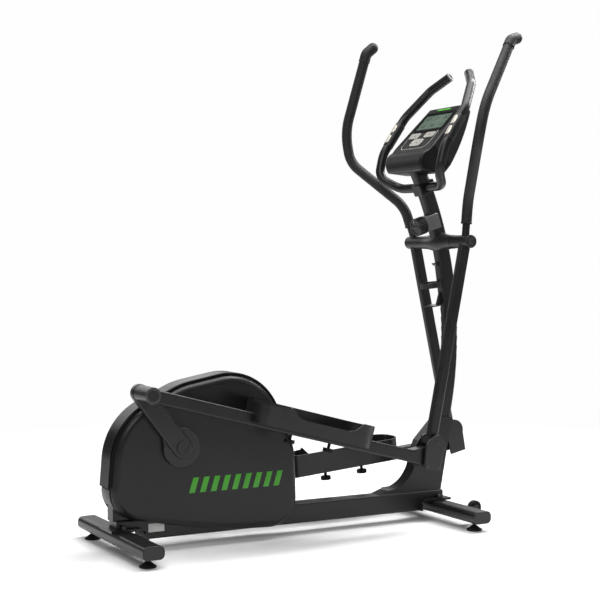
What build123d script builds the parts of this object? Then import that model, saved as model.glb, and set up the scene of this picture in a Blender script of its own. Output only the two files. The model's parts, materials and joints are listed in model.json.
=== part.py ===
from build123d import *
import math
import os

# Elliptical cross trainer. Millimetres, +Z up, +X towards the front of the machine, +Y to the
# left of the person who uses it. While modelling, X is measured from the middle of the rear
# stabiliser; every piece is moved at export so that X = 0 is the middle of the whole machine.

LEFT = 1
RIGHT = -1

# Floor and stabilisers
bar_spacing = 1131.0
bar_width = 68.0
bar_height = 40.0
bar_round = 16.0
bar_wall = 2.0
bar_floor_gap = 27.0
bar_centre_z = bar_floor_gap + bar_height / 2
rear_bar_length = 543.0
front_bar_length = 570.0
bar_cap = 8.0
bar_plug = 20.0
foot_inset = 46.0
foot_radius = 25.0
foot_rim = 5.0
foot_neck_radius = 9.0
foot_neck_z = 16.0
foot_stem_radius = 5.0

# Gaps. A running fit is radial; a seam is the air between pieces that move past each other.
running_fit = 0.05
seam = 0.4

# Main beam and its saddles over the stabilisers
beam_width = 60.0
beam_height = 64.0
beam_round = 6.0
beam_wall = 2.5
beam_rear_overhang = 20.0
beam_front_overhang = 21.0
saddle_thick = 8.0
saddle_above_beam = 39.0
saddle_width = 96.0
saddle_reach = 42.0
saddle_leg = 78.0
saddle_bolt_radius = 4.0
saddle_bolt_y = 39.0
nut_radius = 7.5
nut_height = 7.0

# Upper axle, which carries the swinging arms and sets the height of the mast
axle_ahead = 25.0
axle_x = bar_spacing + axle_ahead
axle_z = 936.0
axle_radius = 15.0
axle_wall = 3.0

# Mast: a straight foot and a long arc that leans back over the user
mast_depth = 50.0
mast_width = 38.0
mast_round = 10.0
mast_wall = 2.5
mast_bend_radius = 1245.0
mast_lean_at_axle = 14.8
mast_lean_at_foot = 10.5
mast_above_axle = 256.0
mast_top_z = axle_z + mast_above_axle
boot_half_width = 25.0
boot_wall = 3.0
boot_length = 231.0
boot_toe = 35.0
boot_toe_rise = 12.0
boot_arc_radius = 113.0
boot_shoulder_run = 20.0
boot_front_gap = 5.0
boot_shoulder_z = 270.0
boot_top_z = 345.0

# Swinging arms. The rod's pivot hangs at arm_foot_z when an arm points straight down.
arm_plane = 148.0
arm_foot_z = 237.35
arm_length = axle_z - arm_foot_z
arm_sleeve_in = arm_plane - 62.0
arm_sleeve_out = arm_plane + 26.0
arm_sleeve_radius = 22.0
arm_tube_depth = 38.0
arm_tube_width = 26.0
arm_tube_round = 9.0
arm_tube_wall = 2.0
axle_cap_thick = 9.6
hub_cover_radius = 33.0
fork_wall = 5.7
fork_radius = 24.0
fork_block = 22.0
fork_pin_radius = 8.0
fork_gap = 4.0
shield_half = 34.0
shield_below = 57.0
shield_above = 60.0
shield_thick = 8.0
shield_rim = 3.0

# Handles: points in the arm's frame, with the upper axle at the origin
handle_points = [
    (-2.0, arm_plane, 18.0),
    (-16.0, arm_plane, 130.0),
    (-114.0, 288.0, 311.0),
    (-112.0, 288.0, 419.0),
    (-8.8, 224.0, 670.0),
]
handle_bends = [110.0, 95.0, 240.0]
handle_radius = 12.5
handle_wall = 2.0
grip_radius = 17.5
grip_start_z = 60.0
grip_end_share = 0.90
tip_radius = 19.0
tip_point = (17.0, 217.0, 685.0)
tip_bend = 24.0

# Crank and rods
crank_x = 176.8
crank_z = 311.0
crank_radius = 218.0
crank_rest_angle = 128.48
rod_extra = 21.8
rod_length = axle_x - crank_x + rod_extra
rod_pivot_rise = 27.1
rod_size = 40.0
rod_round = 6.0
rod_wall = 2.0
rod_tube_end = 975.0
rod_eye_radius = 22.0
crank_axle_radius = 10.0
shroud_half = 55.0
crank_gap = 2.5
crank_arm_thick = 8.0
crank_arm_half = 18.0
crank_boss_radius = 19.0
crank_boss_in = 47.0
crank_cover_radius = 60.0
crank_eye_radius = 27.0
crank_boss_rise = 3.5
crank_cover_front = 12.0
crank_neck_round = 45.0
crank_cover_round = 5.0
pin_gap = 0.5
pin_radius = 15.0
hub_radius = 25.0
pin_cap = 4.0

# Pedals, along the rod from the crank pin
pedal_start = 335.0
pedal_end = 757.0
pedal_in = arm_plane - 64.0
pedal_out = arm_plane + 68.0
pedal_floor = 4.0
pedal_wall = 3.5
pedal_skirt = 28.0
pedal_inner_height = 40.0
pedal_outer_height = 8.0
pedal_heel_round = 26.0
pedal_toe_round = 52.0
pedal_ribs = 9
knob_stations = (484.0, 626.0)
knob_radius = 17.0
knob_thick = 12.0
knob_drop = 14.0
knob_stem_radius = 5.0

# Drive inside the shroud
pulley_radius = 140.0
pulley_in = 24.0
pulley_out = 40.0
housing_radius = 26.0
bearing_radius = 20.0
bearing_width = 12.0
housing_right = -44.0
housing_left = 18.0
flywheel_ahead = 253.2
flywheel_below = 61.0
flywheel_x = crank_x + flywheel_ahead
flywheel_z = crank_z - flywheel_below
flywheel_radius = 115.0
flywheel_right = -14.0
flywheel_left = 12.0
flywheel_pulley_radius = 28.0
flywheel_axle_radius = 6.0
belt_thick = 4.0
idler_radius = 20.0
idler_pin_radius = 5.0
fork_plate = 6.0
magnet_gap = 2.5
magnet_thick = 2.5
magnet_band = 6.0
magnet_pivot_angle = -35.0
magnet_top_angle = 48.0
magnet_pivot_radius = 135.0
magnet_pin_radius = 4.0

# Shroud: its side is a skin round six rollers. Each has its distance ahead of the crank's axis
# and its radius; the upper ones have a height over that axis, the lower ones over the beam.
upper_rollers = [
    (-18.8, -43.0, 191.0),
    (81.2, -30.0, 222.0),
    (169.2, 31.0, 178.0),
    (205.2, -75.0, 196.0),
]
lower_rollers = [
    (314.2, 26.0, 90.0),
    (-127.8, 87.0, 89.0),
]
shroud_wall = 3.0
shroud_round = 22.0
shroud_seam = 0.3
spine_half = 40.0
spine_rise = 9.0
spine_edge_round = 5.0
spine_rear_below = 111.0
spine_front_above = 89.0
spine_step_ahead = 123.2
shroud_hole = 24.0

# Transport wheels
wheel_radius = 23.0
wheel_width = 18.0
wheel_y = 155.0
wheel_reach = 61.0
wheel_z = 56.0
wheel_pin_radius = 5.0
lug_thick = 5.0

# Fixed handlebar: points of the left half, from the place where it crosses the mast
bar_points = [
    (-12.5, 125.0, 1.0),
    (-64.5, 182.0, 42.0),
    (-45.5, 184.0, 122.0),
    (39.5, 178.0, 250.0),
    (107.5, 119.0, 342.0),
    (143.5, 56.0, 385.0),
]
bar_bends = [70.0, 45.0, 120.0, 70.0, 50.0]
bar_middle_bend = 300.0
bar_radius = 15.5
bar_tube_wall = 2.0
bar_above_axle = 182.0
bar_z = axle_z + bar_above_axle
bar_plug_length = 4.0
bar_plug_round = 1.5
sensor_thick = 1.4
sensor_length = 32.0
sensor_pitch = 42.0

# Tension control on the mast
tension_z = axle_z + 72.0
tension_knob_radius = 30.0
tension_knob_depth = 32.0
tension_shaft_radius = 4.0
tension_block_height = 52.0
tension_block_rear = 22.0
tension_travel = 300.0
magnet_travel = 5.0

# Bottle cage
cage_z = axle_z - 136.0
cage_height = 144.0
cage_radius = 36.0
cage_wall = 3.5

# Console: the two ends of its face, ahead of and above the top of the mast
console_top_offset = (127.9, 203.0)
console_fold_offset = (-21.1, 46.0)
console_split = 26.0
console_round = 9.0
console_wall = 3.0
console_top_half = 100.0
console_mid_half = 120.0
console_low_half = 96.0
screen_width = 160.0
screen_height = 78.0
screen_up = 34.0
key_rise = 2.5
key_travel = 1.5
key_gap = 0.4
key_depth = 8.0


def rod_y(x, z, y0, y1, radius):
    return Pos(x, (y0 + y1) / 2, z) * Rot(90, 0, 0) * Cylinder(radius, y1 - y0)


def rod_z(x, y, z0, z1, radius):
    return Pos(x, y, (z0 + z1) / 2) * Cylinder(radius, z1 - z0)


def block(x0, x1, y0, y1, z0, z1):
    return Pos((x0 + x1) / 2, (y0 + y1) / 2, (z0 + z1) / 2) * Box(x1 - x0, y1 - y0, z1 - z0)


def slab(outline, y0, y1):
    """Turns an outline drawn in X and Z into a plate between two values of Y."""
    return extrude(Plane.XZ.offset(-y0) * outline, amount=y1 - y0, dir=(0, 1, 0))


def capsule(x0, z0, r0, x1, z1, r1):
    """Outline of two circles and the straight sides that join them."""
    return make_hull([*(Pos(x0, z0) * Circle(r0)).edges(), *(Pos(x1, z1) * Circle(r1)).edges()])


def side_of(shape, side):
    return shape if side == LEFT else mirror(shape, about=Plane.XZ)


def pipe(path, radius):
    return sweep(Plane(origin=path @ 0, z_dir=path % 0) * Circle(radius), path=path)


def side_name(side):
    return "left" if side == LEFT else "right"


# ---------------------------------------------------------------------------- linkage
def crank_pin(side):
    """Centre of the crank pin, as X and Z, with the crank at rest."""
    angle = math.radians(crank_rest_angle + (180.0 if side == LEFT else 0.0))
    return crank_x + crank_radius * math.cos(angle), crank_z + crank_radius * math.sin(angle)


def rod_pivot(pin):
    """The point one rod length from the pin and one arm length below the axle."""
    dx = axle_x - pin[0]
    dz = axle_z - pin[1]
    span = math.hypot(dx, dz)
    along = (rod_length**2 - arm_length**2 + span**2) / (2 * span)
    across = math.sqrt(rod_length**2 - along**2)
    ux = dx / span
    uz = dz / span
    return pin[0] + along * ux + across * uz, pin[1] + along * uz - across * ux


def arm_tilt(pivot):
    """Degrees that the arm's lower end swings to the rear of straight down."""
    return math.degrees(math.atan2(axle_x - pivot[0], axle_z - pivot[1]))


def rod_slope(pin, pivot):
    """Degrees that the rod's tube falls towards the front."""
    fall = math.degrees(math.atan2(pin[1] - pivot[1], pivot[0] - pin[0]))
    return fall + math.degrees(math.asin(rod_pivot_rise / rod_length))


def place_arm(shape, side):
    tilt = arm_tilt(rod_pivot(crank_pin(side)))
    return Pos(axle_x, 0, axle_z) * Rot(0, tilt, 0) * side_of(shape, side)


def place_rod(shape, side):
    pin = crank_pin(side)
    slope = rod_slope(pin, rod_pivot(pin))
    return Pos(pin[0], 0, pin[1]) * Rot(0, slope, 0) * side_of(shape, side)


def place_crank(shape, side):
    angle = crank_rest_angle + (180.0 if side == LEFT else 0.0)
    return Pos(crank_x, 0, crank_z) * Rot(0, -angle, 0) * side_of(shape, side)


# ---------------------------------------------------------------------------- stabilisers
def bar_section(inset=0.0):
    width = bar_width - 2 * inset
    height = bar_height - 2 * inset
    return RectangleRounded(width, height, bar_round - inset)


def stabiliser(x, length, extra=None):
    half = length / 2 - bar_cap
    place = Pos(x, bar_centre_z)
    body = slab(place * bar_section(), -half, half)
    if extra is not None:
        body += extra
    body -= slab(place * bar_section(bar_wall), -half, half)
    for side in (LEFT, RIGHT):
        y = side * (length / 2 - foot_inset)
        floor_z = bar_centre_z - bar_height / 2
        body -= rod_z(x, y, floor_z - 1, floor_z + bar_wall + 1, foot_stem_radius + running_fit)
        y = side * saddle_bolt_y
        body -= rod_z(x, y, floor_z - 1, floor_z + bar_height + 1, saddle_bolt_radius)
    return body


def wheel_lugs():
    """Two pairs of lugs on the front stabiliser, each pair with the pin of its wheel."""
    x = bar_spacing + wheel_reach
    reach = wheel_pin_radius + 5.0
    back = bar_spacing + bar_width / 2 - bar_wall
    outline = capsule(back, bar_centre_z, reach, x, wheel_z, reach)
    inner = wheel_y - wheel_width / 2 - seam
    outer = wheel_y + wheel_width / 2 + seam
    lugs = slab(outline, inner - lug_thick, inner)
    lugs += slab(outline, outer, outer + lug_thick)
    lugs += rod_y(x, wheel_z, inner - lug_thick, outer + lug_thick, wheel_pin_radius)
    return lugs + mirror(lugs, about=Plane.XZ)


def transport_wheel():
    x = bar_spacing + wheel_reach
    half = wheel_width / 2
    wheel = rod_y(x, wheel_z, wheel_y - half, wheel_y + half, wheel_radius)
    wheel = fillet(wheel.edges().filter_by(GeomType.CIRCLE), 3.0)
    groove = rod_y(x, wheel_z, wheel_y - half, wheel_y - half + 3, wheel_radius - 6)
    groove -= rod_y(x, wheel_z, wheel_y - half, wheel_y - half + 3, wheel_pin_radius + 5)
    wheel -= groove
    wheel -= mirror(groove, about=Plane.XZ.offset(-wheel_y))
    return wheel - rod_y(x, wheel_z, wheel_y - half, wheel_y + half, wheel_pin_radius + running_fit)


def stabiliser_caps():
    caps = []
    for x, length in ((0.0, rear_bar_length), (bar_spacing, front_bar_length)):
        place = Pos(x, bar_centre_z)
        end = length / 2
        cap = slab(place * bar_section(), end - bar_cap, end)
        outer_edges = cap.faces().sort_by(Axis.Y)[-1].edges()
        cap = fillet(outer_edges, 3.0)
        cap += slab(place * bar_section(bar_wall), end - bar_cap - bar_plug, end - bar_cap)
        caps += [cap, mirror(cap, about=Plane.XZ)]
    return Compound(children=caps)


def levelling_foot(x, y):
    foot = rod_z(x, y, 0, foot_rim, foot_radius)
    cone_height = foot_neck_z - foot_rim
    foot += Pos(x, y, foot_rim + cone_height / 2) * Cone(foot_radius - 2, foot_neck_radius, cone_height)
    bar_bottom = bar_centre_z - bar_height / 2
    foot += rod_z(x, y, foot_neck_z, bar_bottom + 12, foot_stem_radius)
    nut = RegularPolygon(foot_neck_radius, 6)
    foot += Pos(x, y, bar_bottom - seam - 6) * extrude(nut, amount=6)
    return foot


# ---------------------------------------------------------------------------- main frame
def beam_bottom():
    return bar_centre_z + bar_height / 2 + saddle_thick - saddle_above_beam


def beam_top():
    return beam_bottom() + beam_height


def saddle_outline(depth):
    """Arch over a stabiliser, drawn for the rear one; depth is how far it lies inside."""
    top = bar_centre_z + bar_height / 2 + saddle_thick - depth
    leg = saddle_leg - depth
    foot_z = beam_bottom() + 2.0
    knee = leg - 34.0
    arch = Line((-saddle_reach, foot_z), (-saddle_reach, top))
    arch += Line((-saddle_reach, top), (knee, top))
    arch += ThreePointArc((knee, top), (leg - 9.0, top - 12.0), (leg, foot_z))
    arch += Line((leg, foot_z), (-saddle_reach, foot_z))
    return make_face(arch)


def saddle(place):
    half = saddle_width / 2
    outer = slab(saddle_outline(0.0), -half, half)
    hollow = slab(saddle_outline(saddle_thick), -half, half)
    hollow += slab(Pos(-saddle_reach / 2, 50.0) * Rectangle(saddle_reach, 34.0), -half, half)
    arch = outer - hollow
    arch -= block(-bar_width, saddle_leg - saddle_thick, -half, half, 0, bar_centre_z + bar_height / 2)
    for side in (LEFT, RIGHT):
        arch -= rod_z(0, side * saddle_bolt_y, 0, beam_top(), saddle_bolt_radius)
    return place(arch)


def beam_section(inset=0.0):
    size = RectangleRounded(beam_width - 2 * inset, beam_height - 2 * inset, beam_round - inset / 2)
    return Pos(0, beam_bottom() + beam_height / 2) * size


def beam_tube():
    start = -beam_rear_overhang
    end = bar_spacing + beam_front_overhang
    tube = extrude(Plane.YZ.offset(start) * beam_section(), amount=end - start)
    bore_length = end - start - 2 * beam_wall
    tube -= extrude(Plane.YZ.offset(start + beam_wall) * beam_section(beam_wall), amount=bore_length)
    room = slab(saddle_outline(saddle_thick / 2), -beam_width, beam_width)
    room += block(-bar_width, saddle_leg - saddle_thick, -beam_width, beam_width, 0, beam_bottom() + 3)
    tube -= room
    tube -= Pos(bar_spacing, 0, 0) * mirror(room, about=Plane.YZ)
    return tube


def crank_post():
    """Upright from the beam to the crank's bearing housing, with a brace to the rear."""
    post = block(crank_x - 22, crank_x + 22, -28, 8, beam_top(), crank_z)
    post -= block(crank_x - 19, crank_x + 19, -25, 5, beam_top(), crank_z)
    rear = block(-beam_rear_overhang - 8, 30, -22, 22, beam_top() - 3, 150)
    rear -= block(-beam_rear_overhang - 5, 27, -19, 19, beam_top() - 3, 147)
    brace = slab(capsule(0, 140, 9, crank_x - 14, crank_z - 20, 9), -12, -6)
    housing = rod_y(crank_x, crank_z, housing_right, housing_left, housing_radius)
    post = post + rear + brace + housing
    return post - rod_y(crank_x, crank_z, housing_right, housing_left, bearing_radius)


def frame_beam():
    beam = beam_tube()
    beam += saddle(lambda arch: arch)
    beam += saddle(lambda arch: Pos(bar_spacing, 0, 0) * mirror(arch, about=Plane.YZ))
    return beam + crank_post()


def saddle_bolts():
    """Two carriage bolts with dome nuts through each saddle and stabiliser."""
    bolts = []
    low = bar_centre_z - bar_height / 2
    top = bar_centre_z + bar_height / 2 + saddle_thick
    for x in (0.0, bar_spacing):
        for side in (LEFT, RIGHT):
            y = side * saddle_bolt_y
            bolt = rod_z(x, y, low, top + nut_height, saddle_bolt_radius)
            bolt += rod_z(x, y, low - 4, low, nut_radius)
            bolt += Pos(x, y, top) * extrude(RegularPolygon(nut_radius, 6), amount=nut_height)
            dome = Pos(x, y, top + nut_height - 1) * Sphere(nut_radius - 1.5)
            bolt += dome - block(x - 9, x + 9, y - 9, y + 9, top - 9, top + nut_height - 1)
            bolts.append(bolt)
    return Compound(children=bolts)


# ---------------------------------------------------------------------------- mast
def mast_centre():
    """Centre of the mast's long arc, as X and Z."""
    lean = math.radians(mast_lean_at_axle)
    return axle_x - mast_bend_radius * math.cos(lean), axle_z - mast_bend_radius * math.sin(lean)


def mast_point(lean):
    """A point of the mast's arc where it leans back by this many degrees."""
    cx, cz = mast_centre()
    angle = math.radians(lean)
    return cx + mast_bend_radius * math.cos(angle), cz + mast_bend_radius * math.sin(angle)


def mast_lean(z):
    return math.degrees(math.asin((z - mast_centre()[1]) / mast_bend_radius))


def mast_plane(z):
    """Frame on the mast: X points to the rear, Z points up along the tube."""
    lean = mast_lean(z)
    x, z_here = mast_point(lean)
    angle = math.radians(lean)
    rear = (-math.cos(angle), 0, -math.sin(angle))
    along = (-math.sin(angle), 0, math.cos(angle))
    return Plane(origin=(x, 0, z_here), x_dir=rear, z_dir=along)


def mast_foot_x(z):
    """X of the mast's straight foot at height z."""
    x, joint_z = mast_point(-mast_lean_at_foot)
    return x - (joint_z - z) * math.tan(math.radians(mast_lean_at_foot))


def mast_path():
    top = mast_lean(mast_top_z)
    low_x, low_z = mast_point(-mast_lean_at_foot)
    mid_x, mid_z = mast_point((top - mast_lean_at_foot) / 2)
    top_x, top_z = mast_point(top)
    start_z = beam_top()
    path = Line((mast_foot_x(start_z), 0, start_z), (low_x, 0, low_z))
    return path + ThreePointArc((low_x, 0, low_z), (mid_x, 0, mid_z), (top_x, 0, top_z))


def mast_tube(inset):
    angle = math.radians(mast_lean_at_foot)
    along = (math.sin(angle), 0, math.cos(angle))
    across = (math.cos(angle), 0, -math.sin(angle))
    start = Plane(origin=(mast_foot_x(beam_top()), 0, beam_top()), x_dir=across, z_dir=along)
    section = RectangleRounded(mast_depth - 2 * inset, mast_width - 2 * inset, mast_round - inset)
    return sweep(start * section, path=mast_path())


def boot_outline(inset=0.0):
    """Side of the sheet-metal boot that carries the mast on the beam."""
    base = beam_top()
    rear_x = bar_spacing - boot_length
    arc_x = rear_x + boot_toe
    toe_z = base + boot_toe_rise
    radius = boot_arc_radius
    arc_z = toe_z + radius
    shoulder_x = arc_x + radius + boot_shoulder_run
    corner = radius * math.sqrt(0.5)
    front_low = bar_spacing + beam_front_overhang - boot_front_gap
    front_top = mast_foot_x(boot_top_z) + mast_depth / 2
    rear_top = mast_foot_x(boot_top_z) - mast_depth / 2
    edge = Line((rear_x, base), (arc_x, toe_z))
    edge += ThreePointArc((arc_x, toe_z), (arc_x + corner, arc_z - corner), (arc_x + radius, arc_z))
    edge += Line((arc_x + radius, arc_z), (shoulder_x, boot_shoulder_z))
    edge += Line((shoulder_x, boot_shoulder_z), (rear_top, boot_top_z))
    edge += Line((rear_top, boot_top_z), (front_top, boot_top_z))
    edge += Line((front_top, boot_top_z), (front_low, base))
    edge += Line((front_low, base), (rear_x, base))
    face = make_face(edge)
    return face if inset == 0 else offset(face, amount=-inset)


def mast():
    boot = slab(boot_outline(), -boot_half_width, boot_half_width)
    inner = boot_half_width - boot_wall
    boot -= slab(boot_outline(boot_wall), -inner, inner)
    body = mast_tube(0.0) + boot
    body -= mast_tube(mast_wall)
    below = (bar_spacing - boot_length, bar_spacing + mast_depth, -mast_width, mast_width)
    body -= block(*below, beam_bottom(), beam_top())
    body -= rod_y(axle_x, axle_z, -mast_width, mast_width, axle_radius)
    body -= fixed_bar_core()
    return body


def axle_tube():
    tube = rod_y(axle_x, axle_z, -axle_end(), axle_end(), axle_radius)
    return tube - rod_y(axle_x, axle_z, -axle_end(), axle_end(), axle_radius - axle_wall)


def axle_end():
    return arm_sleeve_out + seam


def axle_cover():
    """Moulded sleeve that swells around the mast, and the two end caps of the axle."""
    end = arm_sleeve_in - seam
    rim = arm_sleeve_radius + 1.0
    swell = Spline((rim, end), (rim + 2.5, end * 0.62), (hub_cover_radius, 0), (rim + 2.5, -end * 0.62),
                   (rim, -end))
    edge = swell + Line((rim, -end), (axle_radius, -end))
    edge += Line((axle_radius, -end), (axle_radius, end)) + Line((axle_radius, end), (rim, end))
    sleeve = revolve(Plane.XZ * make_face(edge), axis=Axis.Z)
    sleeve = Pos(axle_x, 0, axle_z) * Rot(90, 0, 0) * sleeve
    sleeve -= mast_tube(0.0)
    pieces = [sleeve.solids().sort_by(SortBy.VOLUME)[-1]]
    start = axle_end()
    cap = rod_y(axle_x, axle_z, start, start + axle_cap_thick, arm_sleeve_radius)
    cap = fillet(cap.faces().sort_by(Axis.Y)[-1].edges(), 4.0)
    cap += rod_y(axle_x, axle_z, start - 14, start, axle_radius - axle_wall)
    return Compound(children=pieces + [cap, mirror(cap, about=Plane.XZ)])


# ---------------------------------------------------------------------------- swinging arms
def arm():
    """Swinging arm in its own frame: sleeve on the axle, tube, and fork at the rod."""
    inner_wall = arm_plane - rod_size / 2 - seam
    outer_wall = arm_plane + rod_size / 2 + seam
    block_low = -arm_length + rod_eye_radius + fork_gap
    block_high = block_low + fork_block
    body = rod_y(0, 0, arm_sleeve_in, arm_sleeve_out, arm_sleeve_radius)
    section = RectangleRounded(arm_tube_depth, arm_tube_width, arm_tube_round)
    body += Pos(0, arm_plane, block_low) * extrude(section, amount=-block_low)
    body += block(-fork_radius, fork_radius, inner_wall - fork_wall, outer_wall + fork_wall, block_low,
                  block_high)
    cheek = Pos(0, -arm_length) * Circle(fork_radius)
    cheek += Pos(0, (block_high - arm_length) / 2) * Rectangle(2 * fork_radius, block_high + arm_length)
    body += slab(cheek, inner_wall - fork_wall, inner_wall)
    body += slab(cheek, outer_wall, outer_wall + fork_wall)
    body += rod_y(0, -arm_length, inner_wall, outer_wall, fork_pin_radius)
    core = RectangleRounded(arm_tube_depth - 2 * arm_tube_wall, arm_tube_width - 2 * arm_tube_wall,
                            arm_tube_round - arm_tube_wall)
    bore = Pos(0, arm_plane, block_high) * extrude(core, amount=-block_high - arm_sleeve_radius)
    body -= bore
    return body - rod_y(0, 0, arm_sleeve_in, arm_sleeve_out, axle_radius + running_fit)


def handle_path():
    return FilletPolyline(*handle_points, radius=handle_bends)


def handle_tube_outer():
    return pipe(handle_path(), handle_radius)


def handle_tube():
    tube = handle_tube_outer() - pipe(handle_path(), handle_radius - handle_wall)
    return tube - rod_y(0, 0, arm_sleeve_in, arm_sleeve_out, arm_sleeve_radius)


def between(a, b, share):
    return tuple(p + (q - p) * share for p, q in zip(a, b))


def grip_end():
    return between(handle_points[3], handle_points[4], grip_end_share)


def grip():
    """Foam sleeve from just above the axle to the tip, and the moulded tip."""
    first, second = handle_points[0], handle_points[1]
    share = (grip_start_z - first[2]) / (second[2] - first[2])
    start = between(first, second, share)
    route = [start, *handle_points[1:4], grip_end()]
    core = handle_tube_outer()
    foam = pipe(FilletPolyline(*route, radius=handle_bends), grip_radius) - core
    tip_route = FilletPolyline(grip_end(), handle_points[4], tip_point, radius=tip_bend)
    tip = pipe(tip_route, tip_radius) + Pos(*tip_point) * Sphere(tip_radius) - core
    return Compound(children=[foam, tip])


def shield_outline():
    """Shield shape over the joint, with its point up, in the arm's frame."""
    half = shield_half
    low = -shield_below
    high = shield_above
    edge = Line((-half, -8), (-half + 5, low))
    edge += Line((-half + 5, low), (half - 2, low))
    edge += Line((half - 2, low), (half, 8))
    edge += ThreePointArc((half, 8), (half - 9, high - 10), (4, high))
    edge += ThreePointArc((4, high), (-half + 9, high - 22), (-half, -8))
    return Pos(0, -arm_length) * make_face(edge)


def joint_cover():
    """Two moulded halves on the fork's cheeks, each with a rim at the front."""
    inner = arm_plane - rod_size / 2 - seam - fork_wall
    outer = arm_plane + rod_size / 2 + seam + fork_wall
    halves = []
    for face_y, end_y in ((outer, outer + shield_thick), (inner, inner - shield_thick)):
        half = slab(shield_outline(), min(face_y, end_y), max(face_y, end_y))
        outside = half.faces().sort_by(Axis.Y)[-1 if end_y > face_y else 0]
        half = fillet(outside.edges(), 2.5)
        rim_y = arm_plane + (0.5 if end_y > face_y else -0.5)
        half += block(shield_half - 1 - shield_rim, shield_half - 1, min(rim_y, face_y), max(rim_y, face_y),
                      -arm_length - shield_below + 6, -arm_length + 6)
        halves.append(half)
    return Compound(children=halves)


# ---------------------------------------------------------------------------- rods and pedals
def rod_pivot_along():
    return math.sqrt(rod_length**2 - rod_pivot_rise**2)


def hub_inner():
    """Distance from the middle plane to the crank pin's inner face."""
    return shroud_half + crank_gap + crank_arm_thick + crank_cover_front + pin_gap


def rod():
    """Foot rod in its own frame: hub at the crank pin, square tube, eye at the arm."""
    half = rod_size / 2
    low, high = arm_plane - half, arm_plane + half
    reach = rod_pivot_along()
    section = Pos(arm_plane, 0) * RectangleRounded(rod_size, rod_size, rod_round)
    core = rod_size - 2 * rod_wall
    hollow = Pos(arm_plane, 0) * RectangleRounded(core, core, rod_round - rod_wall)
    body = extrude(Plane.YZ * section, amount=rod_tube_end)
    start = hub_radius - 1.0
    body -= extrude(Plane.YZ.offset(start) * hollow, amount=rod_tube_end - start - rod_wall)
    gusset = Polyline((rod_tube_end - 50, half), (rod_tube_end - 50, half - rod_wall),
                      (rod_tube_end - 4, -half), (rod_tube_end, -half), (reach + 14, rod_pivot_rise - 17),
                      (reach - 10, rod_pivot_rise + 19), close=True)
    body += slab(make_face(gusset), low, high)
    body += rod_y(reach, rod_pivot_rise, low, high, rod_eye_radius)
    body += rod_y(0, 0, hub_inner(), high, hub_radius)
    body -= rod_y(0, 0, hub_inner(), high, pin_radius)
    for station in knob_stations:
        body -= rod_z(station, arm_plane, -half, half, knob_stem_radius + running_fit)
    return body - rod_y(reach, rod_pivot_rise, low, high, fork_pin_radius + running_fit)


def crank_pin_piece():
    face = arm_plane + rod_size / 2
    pin = rod_y(0, 0, hub_inner(), face, pin_radius)
    cap = rod_y(0, 0, face, face + pin_cap, hub_radius)
    return pin + fillet(cap.faces().sort_by(Axis.Y)[-1].edges(), 1.5)


def pedal_plan(inset):
    """Plan of the pedal, drawn in X and Y: square heel, round toe."""
    length = pedal_end - pedal_start
    width = pedal_out - pedal_in
    plan = Rectangle(length - 2 * inset, width - 2 * inset)
    toe = plan.vertices().sort_by(Axis.X)[-2:]
    plan = fillet(toe, pedal_toe_round - inset)
    heel = plan.vertices().sort_by(Axis.X)[:2]
    plan = fillet(heel, pedal_heel_round - inset)
    return Pos((pedal_start + pedal_end) / 2, (pedal_in + pedal_out) / 2) * plan


def pedal():
    """Foot tray with a skirt: high inner wall, outer wall dipped where the foot steps on."""
    half = rod_size / 2
    base = half
    floor = base + pedal_floor
    top = floor + pedal_inner_height
    bottom = base - pedal_skirt
    body = Pos(0, 0, bottom) * extrude(pedal_plan(0.0), amount=top - bottom)
    body -= Pos(0, 0, floor) * extrude(pedal_plan(pedal_wall), amount=top - floor)
    body -= Pos(0, 0, bottom) * extrude(pedal_plan(pedal_wall), amount=base - bottom)
    dip = floor + pedal_outer_height
    edge = Polyline((pedal_start + 95, top + 5), (pedal_start + 125, dip + 6), (pedal_start + 150, dip),
                    (pedal_end - 110, dip), (pedal_end - 88, dip + 6), (pedal_end - 58, top + 5),
                    close=True)
    body -= slab(make_face(edge), pedal_out - pedal_wall - 30, pedal_out + 10)
    heel_cut = Polyline((pedal_start - 5, top + 5), (pedal_start - 5, top - 14),
                        (pedal_start + 95, top - 8), (pedal_start + 110, top + 5), close=True)
    body -= slab(make_face(heel_cut), arm_plane, pedal_out + 10)
    tunnel = rod_size / 2
    body -= block(pedal_start - 5, pedal_end + 5, arm_plane - tunnel, arm_plane + tunnel, bottom - 5, base)
    pitch = (pedal_end - pedal_start - 150) / (pedal_ribs - 1)
    for index in range(pedal_ribs):
        x = pedal_start + 75 + index * pitch
        body += block(x - 3, x + 3, pedal_in + 14, pedal_out - 14, floor, floor + 1.5)
    for station in knob_stations:
        body -= rod_z(station, arm_plane, base - 1, floor + 2, knob_stem_radius + running_fit)
    return body


def pedal_knob(station):
    half = rod_size / 2
    top = -half - knob_drop
    grip_face = Circle(knob_radius)
    for index in range(6):
        angle = math.radians(60 * index)
        notch = Pos((knob_radius + 2.5) * math.cos(angle), (knob_radius + 2.5) * math.sin(angle))
        grip_face -= notch * Circle(5.0)
    knob = Pos(station, arm_plane, top - knob_thick) * extrude(grip_face, amount=knob_thick)
    return knob + rod_z(station, arm_plane, top, half + pedal_floor, knob_stem_radius)


# ---------------------------------------------------------------------------- crank
def crank_axle():
    end = shroud_half + crank_gap + crank_arm_thick
    return rod_y(crank_x, crank_z, -end, end, crank_axle_radius)


def crank_arm():
    """Flat crank in its own frame, pointing along X from the axle to the pin."""
    start = shroud_half + crank_gap
    end = start + crank_arm_thick
    body = slab(capsule(0, 0, crank_boss_radius + 7, crank_radius, 0, crank_eye_radius - 3), start, end)
    body += rod_y(0, 0, crank_boss_in, start, crank_boss_radius)
    body -= rod_y(0, 0, crank_boss_in, end, crank_axle_radius)
    return body - rod_y(crank_radius, 0, start, end, pin_radius - 5)


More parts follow.
